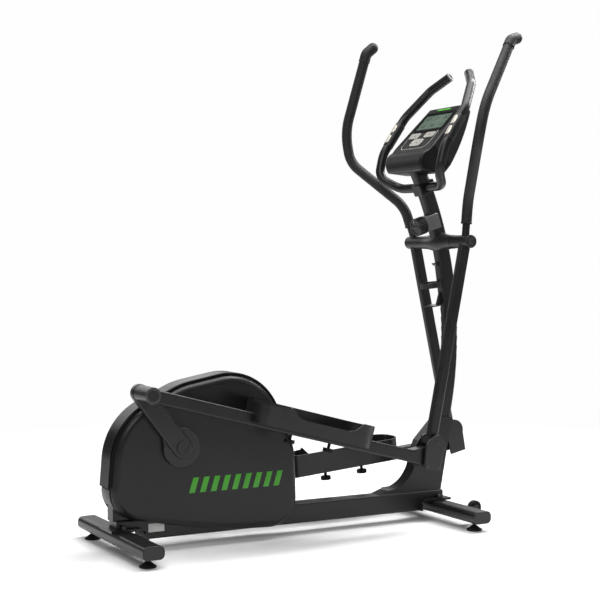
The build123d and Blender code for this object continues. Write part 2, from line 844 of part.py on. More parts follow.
def crank_cover():
    """Moulded cover over the crank: a low round boss with a thick bar that runs to the pin."""
    start = shroud_half + crank_gap
    face = start + crank_arm_thick
    front = face + crank_cover_front
    bar = Sketch() + capsule(0, 0, crank_eye_radius + 5, crank_radius, 0, crank_eye_radius)
    base = bar + Circle(crank_cover_radius)
    necks = [corner for corner in base.vertices() if 0 < corner.X < crank_radius / 2]
    base = fillet(necks, crank_neck_round)
    body = slab(base, start, face + crank_boss_rise)
    body = fillet(body.faces().sort_by(Axis.Y)[-1].edges(), crank_boss_rise - 0.5)
    raised = slab(bar, face, front)
    body += fillet(raised.faces().sort_by(Axis.Y)[-1].edges(), crank_cover_round)
    body -= slab(capsule(0, 0, crank_boss_radius + 7, crank_radius, 0, crank_eye_radius - 3), start, face)
    body -= rod_y(crank_radius, 0, face, front, crank_eye_radius - 6)
    return body


def crank_bearings():
    rings = []
    for start in (housing_right, housing_left - bearing_width):
        ring = rod_y(crank_x, crank_z, start, start + bearing_width, bearing_radius)
        ring -= rod_y(crank_x, crank_z, start, start + bearing_width, crank_axle_radius + running_fit)
        rings.append(ring)
    return Compound(children=rings)


def drive_pulley():
    wheel = rod_y(crank_x, crank_z, pulley_in, pulley_out, pulley_radius)
    web = rod_y(crank_x, crank_z, pulley_in, pulley_in + 5, pulley_radius - 10)
    web -= rod_y(crank_x, crank_z, pulley_in, pulley_in + 5, 30)
    far_web = rod_y(crank_x, crank_z, pulley_out - 5, pulley_out, pulley_radius - 10)
    far_web -= rod_y(crank_x, crank_z, pulley_out - 5, pulley_out, 30)
    wheel = wheel - web - far_web
    for index in range(6):
        angle = math.radians(60 * index)
        x = crank_x + 82 * math.cos(angle)
        z = crank_z + 82 * math.sin(angle)
        wheel -= rod_y(x, z, pulley_in, pulley_out, 24)
    wheel += rod_y(crank_x, crank_z, pulley_in - 3, pulley_out + 2, 22)
    return wheel - rod_y(crank_x, crank_z, pulley_in - 3, pulley_out + 2, crank_axle_radius)


def flywheel():
    rim = rod_y(flywheel_x, flywheel_z, flywheel_right, flywheel_left, flywheel_radius)
    for start in (flywheel_right, flywheel_left - 8):
        recess = rod_y(flywheel_x, flywheel_z, start, start + 8, flywheel_radius - 22)
        recess -= rod_y(flywheel_x, flywheel_z, start, start + 8, 24)
        rim -= recess
    rim += rod_y(flywheel_x, flywheel_z, flywheel_left, pulley_in, 20)
    rim += rod_y(flywheel_x, flywheel_z, pulley_in, pulley_out, flywheel_pulley_radius)
    start = flywheel_right - 8
    rim += rod_y(flywheel_x, flywheel_z, start, flywheel_right, 14)
    return rim - rod_y(flywheel_x, flywheel_z, start, pulley_out, flywheel_axle_radius + running_fit)


def belt_outline(extra):
    return capsule(crank_x, crank_z, pulley_radius + extra, flywheel_x, flywheel_z,
                   flywheel_pulley_radius + extra)


def drive_belt():
    loop = belt_outline(seam + belt_thick) - belt_outline(seam)
    return slab(loop, pulley_in + 1, pulley_out - 1)


def idler_centre():
    """Centre of the idler: outside the belt's lower run, at its middle."""
    dx, dz = flywheel_x - crank_x, flywheel_z - crank_z
    span = math.hypot(dx, dz)
    lean = math.asin((pulley_radius - flywheel_pulley_radius) / span)
    angle = math.atan2(dz, dx) - math.pi / 2 + lean
    nx, nz = math.cos(angle), math.sin(angle)
    mid_x = (crank_x + flywheel_x + (pulley_radius + flywheel_pulley_radius) * nx) / 2
    mid_z = (crank_z + flywheel_z + (pulley_radius + flywheel_pulley_radius) * nz) / 2
    out = idler_radius + belt_thick + 2 * seam
    return mid_x + out * nx, mid_z + out * nz


def idler():
    x, z = idler_centre()
    roller = rod_y(x, z, pulley_in - 1, pulley_out + 1, idler_radius)
    return roller - rod_y(x, z, pulley_in - 1, pulley_out + 1, idler_pin_radius + running_fit)


def magnet_pivot():
    angle = math.radians(magnet_pivot_angle)
    x = flywheel_x + magnet_pivot_radius * math.cos(angle)
    return x, flywheel_z + magnet_pivot_radius * math.sin(angle)


def drive_bracket():
    """Fork for the flywheel's axle, with the idler's pin and the brake's pivot pin."""
    right = flywheel_right - 12
    left = pulley_out + 4
    base = beam_top()
    foot = block(flywheel_x - 45, flywheel_x + 45, right - fork_plate, left + fork_plate, base, base + 6)
    upright = capsule(flywheel_x, base + 30, 30, flywheel_x, flywheel_z, 18)
    upright += Pos(flywheel_x, base + 15) * Rectangle(60, 30)
    px, pz = magnet_pivot()
    body = foot + slab(upright, left, left + fork_plate)
    ix, iz = idler_centre()
    body += slab(capsule(flywheel_x, base + 50, 16, ix, iz, 12), left, left + fork_plate)
    body += slab(upright, right - fork_plate, right)
    body += slab(capsule(flywheel_x, base + 50, 16, px, pz, 10), right - fork_plate, right)
    body += rod_y(flywheel_x, flywheel_z, right - fork_plate, left + fork_plate, flywheel_axle_radius)
    body += rod_y(ix, iz, pulley_in - 2, left, idler_pin_radius)
    return body + rod_y(px, pz, right - fork_plate, flywheel_left + 4, magnet_pin_radius)


def arc_band(inner, outer, start, end):
    """Outline of a ring sector around the flywheel, angles in degrees."""
    def at(radius, angle):
        turn = math.radians(angle)
        return flywheel_x + radius * math.cos(turn), flywheel_z + radius * math.sin(turn)
    mid = (start + end) / 2
    edge = ThreePointArc(at(inner, start), at(inner, mid), at(inner, end))
    edge += Line(at(inner, end), at(outer, end))
    edge += ThreePointArc(at(outer, end), at(outer, mid), at(outer, start))
    edge += Line(at(outer, start), at(inner, start))
    return make_face(edge)


def magnet_bracket():
    """Curved brake shoe that swings on its pin, with the magnets on its inner face."""
    low, high = flywheel_right - 2, flywheel_left + 2
    face = flywheel_radius + magnet_gap
    band = face + magnet_thick
    px, pz = magnet_pivot()
    body = slab(arc_band(band, band + magnet_band, magnet_pivot_angle + 4, magnet_top_angle), low, high)
    body += rod_y(px, pz, low, high, 9)
    reach = math.radians(magnet_pivot_angle + 6)
    lx = flywheel_x + (band + magnet_band / 2) * math.cos(reach)
    lz = flywheel_z + (band + magnet_band / 2) * math.sin(reach)
    body += slab(capsule(px, pz, 5, lx, lz, 3), low, high)
    for index in range(5):
        start = magnet_pivot_angle + 16 + index * 13
        body += slab(arc_band(face, band + 1, start, start + 9), low + 3, high - 3)
    return body - rod_y(px, pz, low, high, magnet_pin_radius + running_fit)


# ---------------------------------------------------------------------------- shroud
def shroud_outline(grow=0.0):
    """Side of the shroud: a taut skin round six rollers of different sizes."""
    rims = []
    for rollers, base in ((upper_rollers, crank_z), (lower_rollers, beam_top())):
        for ahead, above, radius in rollers:
            rims += (Pos(crank_x + ahead, base + above) * Circle(radius + grow)).edges()
    return make_hull(rims)


def frame_room():
    """Room that the shroud leaves around the beam and the rear upright."""
    half = beam_width / 2 + 1
    room = block(-200, 700, -half, half, 0, beam_top() + 1)
    return room + block(-beam_rear_overhang - 9, 31, -23, 23, 0, 152)


def rounded_half(inset):
    """Half of the shroud as a solid with a round rim, this far inside the outer skin."""
    body = slab(shroud_outline(-inset), shroud_seam, shroud_half - inset)
    return fillet(body.faces().sort_by(Axis.Y)[-1].edges(), shroud_round - inset)


def shroud_half_shell():
    shell = rounded_half(0.0) - rounded_half(shroud_wall)
    shell -= rod_y(crank_x, crank_z, 0, shroud_half + 1, shroud_hole)
    return shell - frame_room()


def shroud_spine():
    """Glossy band over the seam of the two halves, from the rear over the top to the front."""
    outer = slab(shroud_outline(spine_rise), -spine_half, spine_half)
    crown = outer.faces().sort_by(Axis.Y)
    outer = fillet(list(crown[0].edges()) + list(crown[-1].edges()), spine_edge_round)
    side = spine_half - shroud_wall
    outer -= slab(shroud_outline(spine_rise - shroud_wall), -side, side)
    outer -= slab(shroud_outline(), -spine_half, spine_half)
    far = 4 * crank_radius
    rear_z = crank_z - spine_rear_below
    front_z = crank_z + spine_front_above
    step_x = crank_x + spine_step_ahead
    outer -= block(-far, step_x, -spine_half, spine_half, -far, rear_z)
    return outer - block(step_x, far, -spine_half, spine_half, -far, front_z)


# ---------------------------------------------------------------------------- handlebar
def bar_at(point, side):
    """A point of the fixed handlebar, from its distances to where the bar crosses the mast."""
    crossing_x = mast_point(mast_lean(bar_z))[0]
    return crossing_x + point[0], side * point[1], bar_z + point[2]


def bar_path():
    """The whole bar, from its right end through the mast to its left end."""
    right = [bar_at(point, RIGHT) for point in reversed(bar_points)]
    left = [bar_at(point, LEFT) for point in bar_points]
    bends = [*reversed(bar_bends), bar_middle_bend, *bar_bends]
    return FilletPolyline(*right, bar_at((0.0, 0.0, 0.0), LEFT), *left, radius=bends)


def fixed_bar_core():
    return pipe(bar_path(), bar_radius)


def handlebar():
    """Bent tube through the mast, with a plug at each end."""
    path = bar_path()
    tube = fixed_bar_core() - pipe(path, bar_radius - bar_tube_wall)
    plug = Cylinder(bar_radius, bar_plug_length)
    plug = fillet(plug.edges().filter_by(GeomType.CIRCLE), bar_plug_round)
    plug = Plane(origin=path @ 1, z_dir=path % 1) * Pos(0, 0, bar_plug_length / 2) * plug
    return Compound(children=[tube, plug, mirror(plug, about=Plane.XZ)])


def pulse_sensors():
    """Two contact sleeves on the straight run of each side of the handlebar."""
    low, high = bar_at(bar_points[2], LEFT), bar_at(bar_points[3], LEFT)
    run = [q - p for p, q in zip(low, high)]
    length = math.sqrt(sum(part**2 for part in run))
    sleeves = []
    for share in (0.5 - sensor_pitch / 2 / length, 0.5 + sensor_pitch / 2 / length):
        plane = Plane(origin=between(low, high, share), z_dir=tuple(run))
        sleeve = Cylinder(bar_radius + sensor_thick, sensor_length)
        sleeve -= Cylinder(bar_radius, sensor_length)
        sleeve = plane * sleeve
        sleeves += [sleeve, mirror(sleeve, about=Plane.XZ)]
    return Compound(children=sleeves)


def handlebar_clamp():
    """Collar around the mast where the handlebar passes through it."""
    plane = mast_plane(bar_z)
    body = plane * Box(mast_depth + 12, mast_width + 12, 40)
    body = fillet(body.edges(), 3.0)
    return body - mast_tube(0.0) - fixed_bar_core()


def tension_bracket():
    plane = mast_plane(tension_z)
    rear = mast_depth / 2 + tension_block_rear
    front = -mast_depth / 2 + 18
    body = Pos((rear + front) / 2, 0, 0) * Box(rear - front, mast_width + 10, tension_block_height)
    body = fillet(body.edges().filter_by(Axis.X), 5.0)
    body = plane * body
    hole = Pos(rear - 9, 0, 0) * Rot(0, 90, 0) * Cylinder(tension_shaft_radius + running_fit, 18)
    return body - mast_tube(0.0) - plane * hole


def tension_knob():
    plane = mast_plane(tension_z)
    start = mast_depth / 2 + tension_block_rear + seam
    face = Circle(tension_knob_radius)
    for index in range(20):
        angle = math.radians(18 * index)
        reach = tension_knob_radius + 1.2
        face -= Pos(reach * math.cos(angle), reach * math.sin(angle)) * Circle(2.6)
    knob = extrude(face, amount=tension_knob_depth)
    knob -= Pos(0, 0, tension_knob_depth) * Cylinder(tension_knob_radius - 6, 4)
    knob += Pos(0, 0, tension_knob_depth - 2) * Box(8, 2 * tension_knob_radius - 14, 8)
    knob += Pos(0, 0, -8) * Cylinder(tension_shaft_radius, 16)
    return plane * (Pos(start, 0, 0) * Rot(0, 90, 0) * knob)


def bottle_cage():
    """Moulded cage screwed to the rear of the mast: strap, ring, shelf and two webs."""
    plane = mast_plane(cage_z)
    wall = mast_depth / 2
    half = cage_height / 2
    centre = wall + 2 + cage_radius
    strap = block(wall - 3, wall + 4, -13, 13, -half, half)
    ring = Pos(centre, 0, 0) * (Cylinder(cage_radius, 18) - Cylinder(cage_radius - cage_wall, 18))
    shelf = Pos(centre, 0, -half + 2) * Cylinder(cage_radius - 8, 4)
    shelf += block(wall + 2, centre, -12, 12, -half, -half + 4)
    web = Polyline((wall + 2, -half), (centre - 10, -half), (wall + 10, -half + 40), (wall + 2, -half + 46),
                   close=True)
    cage = strap + ring + shelf + slab(make_face(web), -3, 3)
    hook = Polyline((wall + 2, half), (wall + 18, half), (wall + 14, half - 8), (wall + 2, half - 14),
                    close=True)
    cage += slab(make_face(hook), -10, 10)
    return plane * cage - mast_tube(0.0)


# ---------------------------------------------------------------------------- console
def by_mast_top(offset):
    """A point, as X and Z, from its distances to the top of the mast."""
    x, z = mast_point(mast_lean(mast_top_z))
    return x + offset[0], z + offset[1]


def console_face_plane():
    """Frame on the console's face: Y points up the face, Z points out to the user."""
    tx, tz = by_mast_top(console_top_offset)
    fx, fz = by_mast_top(console_fold_offset)
    length = math.hypot(tx - fx, tz - fz)
    up = ((tx - fx) / length, 0, (tz - fz) / length)
    normal = (-up[2], 0, up[0])
    return Plane(origin=((tx + fx) / 2, 0, (tz + fz) / 2), x_dir=(0, -1, 0), z_dir=normal)


def console_profile(inset):
    """Side of the console: sloping face, rounded belly, and a back that follows the mast."""
    tx, tz = by_mast_top(console_top_offset)
    fx, fz = by_mast_top(console_fold_offset)
    edge = Line((tx, tz), (fx, fz))
    edge += ThreePointArc((fx, fz), (fx - 31, fz - 42), (fx - 22, fz - 70))
    edge += Line((fx - 22, fz - 70), (fx + 66, fz - 76))
    edge += ThreePointArc((fx + 66, fz - 76), (fx + 124, fz + 10), (tx + 30, tz - 22))
    edge += Line((tx + 30, tz - 22), (tx, tz))
    face = make_face(edge)
    return face if inset == 0 else offset(face, amount=-inset)


def console_front(inset):
    """Outline of the console seen square on, drawn on its face."""
    half = math.dist(console_top_offset, console_fold_offset) / 2
    rows = ((half + 12, console_top_half), (-half + 20, console_mid_half), (-half - 110, console_low_half))
    points = [(width, up) for up, width in rows] + [(-width, up) for up, width in reversed(rows)]
    face = make_face(Polyline(*points, close=True))
    face = fillet(face.vertices(), 16.0)
    return face if inset == 0 else offset(face, amount=-inset)


def console_solid(inset):
    """The console as one block, rounded all over, this far inside its outer skin."""
    reach = 2 * console_mid_half
    side = slab(console_profile(inset), -reach, reach)
    front = extrude(console_face_plane().offset(-reach) * console_front(inset), amount=2 * reach)
    block_shape = side & front
    return fillet(block_shape.edges(), console_round - inset)


def console_shell():
    shell = console_solid(0.0) - console_solid(console_wall)
    plane = mast_plane(mast_top_z)
    half_depth = mast_depth / 2 + 1
    half_width = mast_width / 2 + 1
    room = plane * block(-half_depth, half_depth, -half_width, half_width, -60, 12)
    return shell - room


def console_part(front):
    """The console's shell on one side of the split between its two mouldings."""
    plane = console_face_plane()
    big = 4 * console_mid_half
    low = -console_split if front else -big
    high = big if front else -console_split
    keep = plane * block(-big, big, -big, big, low, high)
    return console_shell() & keep


def screen_outline(extra):
    return Pos(0, screen_up) * RectangleRounded(screen_width + 2 * extra, screen_height + 2 * extra, 8)


def key_outlines(extra):
    """The keys as outlines on the face: two wings below the screen and a middle pad."""
    wing = Pos(0, -34) * RectangleRounded(58 + 2 * extra, 26 + 2 * extra, 9)
    pad = Pos(0, -68) * RectangleRounded(66 + 2 * extra, 34 + 2 * extra, 14)
    return {"key_left": Pos(-44, 0) * wing, "key_right": Pos(44, 0) * wing, "key_middle": pad}


def console_face():
    plane = console_face_plane()
    body = console_part(True)
    depth = console_wall + 2
    body -= extrude(plane.offset(-depth) * screen_outline(0.0), amount=depth + 2)
    for outline in key_outlines(key_gap).values():
        body -= extrude(plane.offset(-depth) * outline, amount=depth + 2)
    return body


def console_screen():
    plane = console_face_plane()
    return extrude(plane.offset(-console_wall - 1) * screen_outline(0.0), amount=console_wall)


def console_key(name):
    plane = console_face_plane()
    return extrude(plane.offset(key_rise - key_depth) * key_outlines(0.0)[name], amount=key_depth)


def console_bracket():
    """Plate inside the console that joins the top of the mast to the console's back."""
    plane = mast_plane(mast_top_z)
    plate = plane * block(-150, 20, -30, 30, -8, 0)
    return (plate & console_solid(console_wall)) - mast_tube(0.0)


# ---------------------------------------------------------------------------- assembly
def build_frame():
    parts = {
        "frame_beam": frame_beam(),
        "mast": mast(),
        "rear_stabiliser": stabiliser(0.0, rear_bar_length),
        "front_stabiliser": stabiliser(bar_spacing, front_bar_length, wheel_lugs()),
        "stabiliser_caps": stabiliser_caps(),
        "saddle_bolts": saddle_bolts(),
        "axle_tube": axle_tube(),
        "axle_cover": axle_cover(),
        "handlebar": handlebar(),
        "pulse_sensors": pulse_sensors(),
        "handlebar_clamp": handlebar_clamp(),
        "tension_bracket": tension_bracket(),
        "tension_knob": tension_knob(),
        "bottle_cage": bottle_cage(),
        "console_back": console_part(False),
        "console_face": console_face(),
        "console_screen": console_screen(),
        "console_bracket": console_bracket(),
    }
    for name in key_outlines(0.0):
        parts[name] = console_key(name)
    return parts


def build_drive():
    shell = shroud_half_shell()
    return {
        "shroud_left": shell,
        "shroud_right": mirror(shell, about=Plane.XZ),
        "shroud_spine": shroud_spine(),
        "crank_bearings": crank_bearings(),
        "crank_axle": crank_axle(),
        "drive_pulley": drive_pulley(),
        "drive_belt": drive_belt(),
        "drive_bracket": drive_bracket(),
        "flywheel": flywheel(),
        "idler_roller": idler(),
        "magnet_bracket": magnet_bracket(),
    }


def build_sides():
    pieces = {
        "crank_arm": (crank_arm(), place_crank),
        "crank_cover": (crank_cover(), place_crank),
        "crank_pin": (crank_pin_piece(), place_rod),
        "foot_rod": (rod(), place_rod),
        "pedal": (pedal(), place_rod),
        "pedal_knob_rear": (pedal_knob(knob_stations[0]), place_rod),
        "pedal_knob_front": (pedal_knob(knob_stations[1]), place_rod),
        "swing_arm": (arm(), place_arm),
        "handle_tube": (handle_tube(), place_arm),
        "handle_grip": (grip(), place_arm),
        "joint_cover": (joint_cover(), place_arm),
    }
    parts = {}
    for name, (shape, place) in pieces.items():
        for side in (LEFT, RIGHT):
            parts[f"{name}_{side_name(side)}"] = place(shape, side)
    for side in (LEFT, RIGHT):
        parts[f"transport_wheel_{side_name(side)}"] = side_of(transport_wheel(), side)
        for end, x, length in (("rear", 0.0, rear_bar_length), ("front", bar_spacing, front_bar_length)):
            foot = levelling_foot(x, side * (length / 2 - foot_inset))
            parts[f"levelling_foot_{end}_{side_name(side)}"] = foot
    return parts


def build_all():
    return {**build_frame(), **build_drive(), **build_sides()}


def middle_x(parts):
    """X of the middle of the whole machine's box."""
    low = min(shape.bounding_box().min.X for shape in parts.values())
    high = max(shape.bounding_box().max.X for shape in parts.values())
    return (low + high) / 2


def main():
    parts = build_all()
    shift = Pos(-middle_x(parts), 0, 0)
    os.makedirs("parts", exist_ok=True)
    for name, shape in parts.items():
        export_step(shift * shape, f"parts/{name}.step")


if __name__ == "__main__":
    main()
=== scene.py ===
"""Rear-drive elliptical cross trainer: finishes, modelled trim and a plain studio.

The CAD frame is loaded first and is never moved. Every new piece is modelled in a local
frame that is read from the CAD boxes and joints, in metres, and rides on a CAD body.
"""

import json
import logging
import math
from dataclasses import dataclass
from enum import Enum
from typing import Callable, Iterable, Sequence

import bpy
from mathutils import Euler, Matrix, Vector


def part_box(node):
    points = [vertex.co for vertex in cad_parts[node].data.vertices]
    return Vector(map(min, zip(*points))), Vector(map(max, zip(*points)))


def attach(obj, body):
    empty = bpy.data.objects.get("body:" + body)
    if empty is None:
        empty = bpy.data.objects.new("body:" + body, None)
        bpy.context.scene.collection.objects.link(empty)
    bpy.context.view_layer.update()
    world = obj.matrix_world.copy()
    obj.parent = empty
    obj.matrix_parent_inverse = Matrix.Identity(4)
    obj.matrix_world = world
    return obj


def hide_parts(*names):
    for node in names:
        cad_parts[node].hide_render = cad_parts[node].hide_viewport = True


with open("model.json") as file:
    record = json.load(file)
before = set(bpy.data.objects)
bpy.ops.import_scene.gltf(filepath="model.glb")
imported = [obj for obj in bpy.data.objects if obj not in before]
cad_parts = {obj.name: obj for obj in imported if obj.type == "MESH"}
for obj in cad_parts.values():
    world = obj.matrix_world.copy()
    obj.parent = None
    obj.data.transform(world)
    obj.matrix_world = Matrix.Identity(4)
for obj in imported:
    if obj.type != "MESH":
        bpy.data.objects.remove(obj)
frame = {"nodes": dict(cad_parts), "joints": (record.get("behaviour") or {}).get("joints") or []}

LOG = logging.getLogger("cross_trainer")
MM = 0.001
FACING = 0.9  # a direction this close to an axis counts as looking along it
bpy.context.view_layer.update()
JOINTS = {joint["name"]: joint for joint in frame["joints"]}


class Side(Enum):
    """The two sides of the machine, with the sign of their Y."""

    LEFT = 1
    RIGHT = -1

    @property
    def word(self) -> str:
        """Name of the side as the CAD nodes spell it."""
        return self.name.lower()

    @property
    def mirror(self) -> Vector:
        """Factors that take a point of the left side to this side."""
        return Vector((1, self.value, 1))

    def skin(self, node: str, at: Vector) -> Matrix:
        """Frame on a node's outermost face, with its Z pointing away from the machine.

        Args:
            node: CAD node whose face it stands on.
            at: Point whose X and Z the frame takes.

        Returns:
            The frame.
        """
        low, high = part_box(node)
        face = high[1] if self is Side.LEFT else low[1]
        return basis(Vector((at.x, face, at.z)), Vector((1, 0, 0)), Vector((0, self.value, 0)))


class Slot(Enum):
    """Material slots of the record, one named for each new piece; its finish comes from its
    material.
    """

    BOLT = "zinc_steel"
    SHROUD = "shroud_matte"
    GLOSS = "shroud_gloss"
    MOULDED = "moulded_plastic"
    LIGHT = "light_plastic"
    CONSOLE = "console_plastic"
    KEY = "key_silver"
    SENSOR = "sensor_metal"
    RUBBER = "rubber"
    SCREEN = "screen"


# ------------------------------------------------------------------ frames and places
def centre_of(node: str) -> Vector:
    """Middle of a CAD node's box.

    Args:
        node: Name of the CAD node.

    Returns:
        The middle of its box at rest, in metres.
    """
    low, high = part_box(node)
    return (Vector(low) + Vector(high)) / 2


def basis(origin: Vector, x_axis: Vector, z_axis: Vector) -> Matrix:
    """Local frame from an origin, its X direction and its Z direction.

    Args:
        origin: Where the frame stands.
        x_axis: Direction of its X.
        z_axis: Direction of its Z, square to X.

    Returns:
        The 4x4 matrix that takes local points into the row frame.
    """
    x_unit = x_axis.normalized()
    z_unit = z_axis.normalized()
    y_unit = z_unit.cross(x_unit)
    turn = Matrix((x_unit, y_unit, z_unit)).transposed().to_4x4()
    return Matrix.Translation(origin) @ turn


def joint_place(name: str) -> Vector:
    """Point that a joint turns about, in metres.

    Args:
        name: Name of the joint.

    Returns:
        Its place at rest.
    """
    return Vector(JOINTS[name]["pos_m"])


# ------------------------------------------------------------------ workshop
class Workshop:
    """Operators for making one piece at a time, with nothing else selected."""

    @staticmethod
    def clear() -> None:
        """Leaves edit mode and deselects everything."""
        if bpy.context.mode != "OBJECT":
            bpy.ops.object.mode_set(mode="OBJECT")
        bpy.ops.object.select_all(action="DESELECT")

    @classmethod
    def only(cls, piece: bpy.types.Object) -> None:
        """Makes one piece the active and only selected object.

        Args:
            piece: The object to select.
        """
        cls.clear()
        piece.select_set(True)
        bpy.context.view_layer.objects.active = piece

    @classmethod
    def named(cls, name: str) -> bpy.types.Object:
        """Names the object that an operator has just added, and its mesh.

        Args:
            name: The name to give.

        Returns:
            The named object.
        """
        piece = bpy.context.active_object
        piece.name = name
        piece.data.name = name
        return piece

    @classmethod
    def drum(cls, name: str, radius: float, depth: float, sides: int = 48) -> bpy.types.Object:
        """Cylinder on the local Z axis that stands on the local origin.

        Args:
            name: Name of the piece.
            radius: Radius in metres.
            depth: Height in metres.
            sides: Number of sides.

        Returns:
            The new object.
        """
        cls.clear()
        bpy.ops.mesh.primitive_cylinder_add(
            vertices=sides, radius=radius, depth=depth, location=(0.0, 0.0, depth / 2)
        )
        piece = cls.named(name)
        bpy.ops.object.transform_apply(location=True, rotation=True, scale=True)
        return piece

    @classmethod
    def cap(
        cls,
        name: str,
        size: tuple[float, float],
        rounding: tuple[float, int],
        recess: tuple[float, float],
        sides: int = 48,
    ) -> bpy.types.Object:
        """Disc on the local origin with a rounded rim and a sunken middle.

        Args:
            name: Name of the piece.
            size: Its radius and height in metres.
            rounding: Width of the rim's rounding and the steps in it.
            recess: Width of the border and how far the middle goes down.
            sides: Number of sides.

        Returns:
            The new object.
        """
        disc = cls.drum(name, *size, sides)
        cls.round_edges(disc, *rounding)
        cls.inset_top(disc, *recess)
        return disc

    @classmethod
    def rim(
        cls,
        name: str,
        size: tuple[float, float],
        corner: tuple[float, int],
        band: tuple[float, float],
        rounding: tuple[float, int],
    ) -> bpy.types.Object:
        """Flat rounded frame that stands on the local origin.

        Args:
            name: Name of the piece.
            size: Its outer sides in metres.
            corner: Radius of its corners and the steps in them.
            band: Width and height of its band.
            rounding: Width of the edges' rounding and the steps in it.

        Returns:
            The new object.
        """
        frame_piece = cls.sheet(name, 1, 1)
        frame_piece.scale = (*size, 1.0)
        bpy.ops.object.transform_apply(location=True, rotation=True, scale=True)
        cls.edit_all(frame_piece)
        bpy.ops.mesh.bevel(offset=corner[0], segments=corner[1], affect="VERTICES")
        bpy.ops.mesh.select_all(action="SELECT")
        bpy.ops.mesh.inset(thickness=band[0], depth=0.0)
        bpy.ops.mesh.delete(type="FACE")
        bpy.ops.mesh.select_all(action="SELECT")
        bpy.ops.mesh.extrude_region_move(TRANSFORM_OT_translate={"value": (0.0, 0.0, band[1])})
        bpy.ops.object.mode_set(mode="OBJECT")
        cls.outward(frame_piece)
        cls.round_edges(frame_piece, *rounding)
        return frame_piece

    @classmethod
    def brick(
        cls, name: str, size: Sequence[float], at: Sequence[float] = (0, 0, 0)
    ) -> bpy.types.Object:
        """Box of a size, centred on a local point.

        Args:
            name: Name of the piece.
            size: Its three sides in metres.
            at: Its middle in metres.

        Returns:
            The new object.
        """
        cls.clear()
        bpy.ops.mesh.primitive_cube_add(size=1.0, location=at)
        piece = cls.named(name)
        piece.scale = size
        bpy.ops.object.transform_apply(location=True, rotation=True, scale=True)
        return piece

    @classmethod
    def sheet(cls, name: str, columns: int, rows: int) -> bpy.types.Object:
        """Flat grid one metre square, centred on the local origin.

        Args:
            name: Name of the piece.
            columns: Cells along X.
            rows: Cells along Y.

        Returns:
            The new object.
        """
        cls.clear()
        bpy.ops.mesh.primitive_grid_add(x_subdivisions=columns, y_subdivisions=rows, size=1.0)
        return cls.named(name)

    @classmethod
    def ring(cls, name: str, radius: float, wire: float) -> bpy.types.Object:
        """Torus round the local Z axis.

        Args:
            name: Name of the piece.
            radius: Radius of its middle line in metres.
            wire: Radius of its section in metres.

        Returns:
            The new object.
        """
        cls.clear()
        bpy.ops.mesh.primitive_torus_add(
            major_radius=radius, minor_radius=wire, major_segments=64, minor_segments=16
        )
        return cls.named(name)

    @classmethod
    def edit_faces(cls, piece: bpy.types.Object, test: Callable[[Vector, Vector], bool]) -> None:
        """Enters edit mode with the faces selected that pass a test.

        Args:
            piece: The object to edit.
            test: Takes a face's centre and normal and says whether it is wanted.
        """
        cls.only(piece)
        bpy.ops.object.mode_set(mode="EDIT")
        bpy.ops.mesh.select_mode(type="FACE")
        bpy.ops.mesh.select_all(action="DESELECT")
        bpy.ops.object.mode_set(mode="OBJECT")
        for face in piece.data.polygons:
            face.select = test(face.center, face.normal)
        bpy.ops.object.mode_set(mode="EDIT")

    @classmethod
    def edit_all(cls, piece: bpy.types.Object) -> None:
        """Enters edit mode with the whole piece selected.

        Args:
            piece: The object to edit.
        """
        cls.only(piece)
        bpy.ops.object.mode_set(mode="EDIT")
        bpy.ops.mesh.select_all(action="SELECT")

    @classmethod
    def inset_top(cls, piece: bpy.types.Object, border: float, sink: float) -> None:
        """Insets the face that looks up the local Z axis and sinks or raises it.

        Args:
            piece: The object to edit.
            border: Width of the rim that stays, in metres.
            sink: How far the inner face goes down, in metres.
        """
        level = max(vertex.co.z for vertex in piece.data.vertices) - 1e-6
        cls.edit_faces(piece, lambda centre, normal: normal.z > FACING and centre.z > level)
        bpy.ops.mesh.inset(thickness=border, depth=0.0)
        bpy.ops.mesh.extrude_region_move(TRANSFORM_OT_translate={"value": (0.0, 0.0, -sink)})
        bpy.ops.object.mode_set(mode="OBJECT")

    @classmethod
    def modifier(cls, piece: bpy.types.Object, kind: str, **settings: object) -> None:
        """Adds a modifier, sets it and applies it.

        Args:
            piece: The object to change.
            kind: Blender's name for the modifier's type.
            settings: Values of the modifier.
        """
        cls.only(piece)
        added = piece.modifiers.new(kind.lower(), kind)
        for key, value in settings.items():
            setattr(added, key, value)
        bpy.ops.object.modifier_apply(modifier=added.name)

    @classmethod
    def round_edges(cls, piece: bpy.types.Object, width: float, segments: int = 3) -> None:
        """Rounds the sharp edges of a piece.

        Args:
            piece: The object to change.
            width: Width of the rounding in metres.
            segments: Number of steps in it.
        """
        cls.modifier(
            piece,
            "BEVEL",
            width=width,
            segments=segments,
            limit_method="ANGLE",
            angle_limit=math.radians(40),
        )

    @classmethod
    def copies(
        cls, piece: bpy.types.Object, name: str, places: Iterable[Matrix]
    ) -> bpy.types.Object:
        """Copies a model to several places and joins the copies into one piece.

        Args:
            piece: The model, which is removed afterwards.
            name: Name of the joined piece.
            places: Where each copy goes.

        Returns:
            The joined object, with every copy's place in its mesh.
        """
        made = []
        for place in places:
            mesh = piece.data.copy()
            mesh.transform(place)
            copy = bpy.data.objects.new(name, mesh)
            bpy.context.scene.collection.objects.link(copy)
            made.append(copy)
        bpy.data.objects.remove(piece)
        cls.clear()
        for copy in made:
            copy.select_set(True)
        bpy.context.view_layer.objects.active = made[0]
        if len(made) > 1:
            bpy.ops.object.join()
        return cls.named(name)

    @classmethod
    def place(cls, piece: bpy.types.Object, matrix: Matrix) -> None:
        """Moves a piece from its local frame to its place, into its mesh.

        Args:
            piece: The object to move.
            matrix: Frame that it goes to.
        """
        cls.only(piece)
        piece.matrix_world = matrix
        bpy.ops.object.transform_apply(location=True, rotation=True, scale=True)

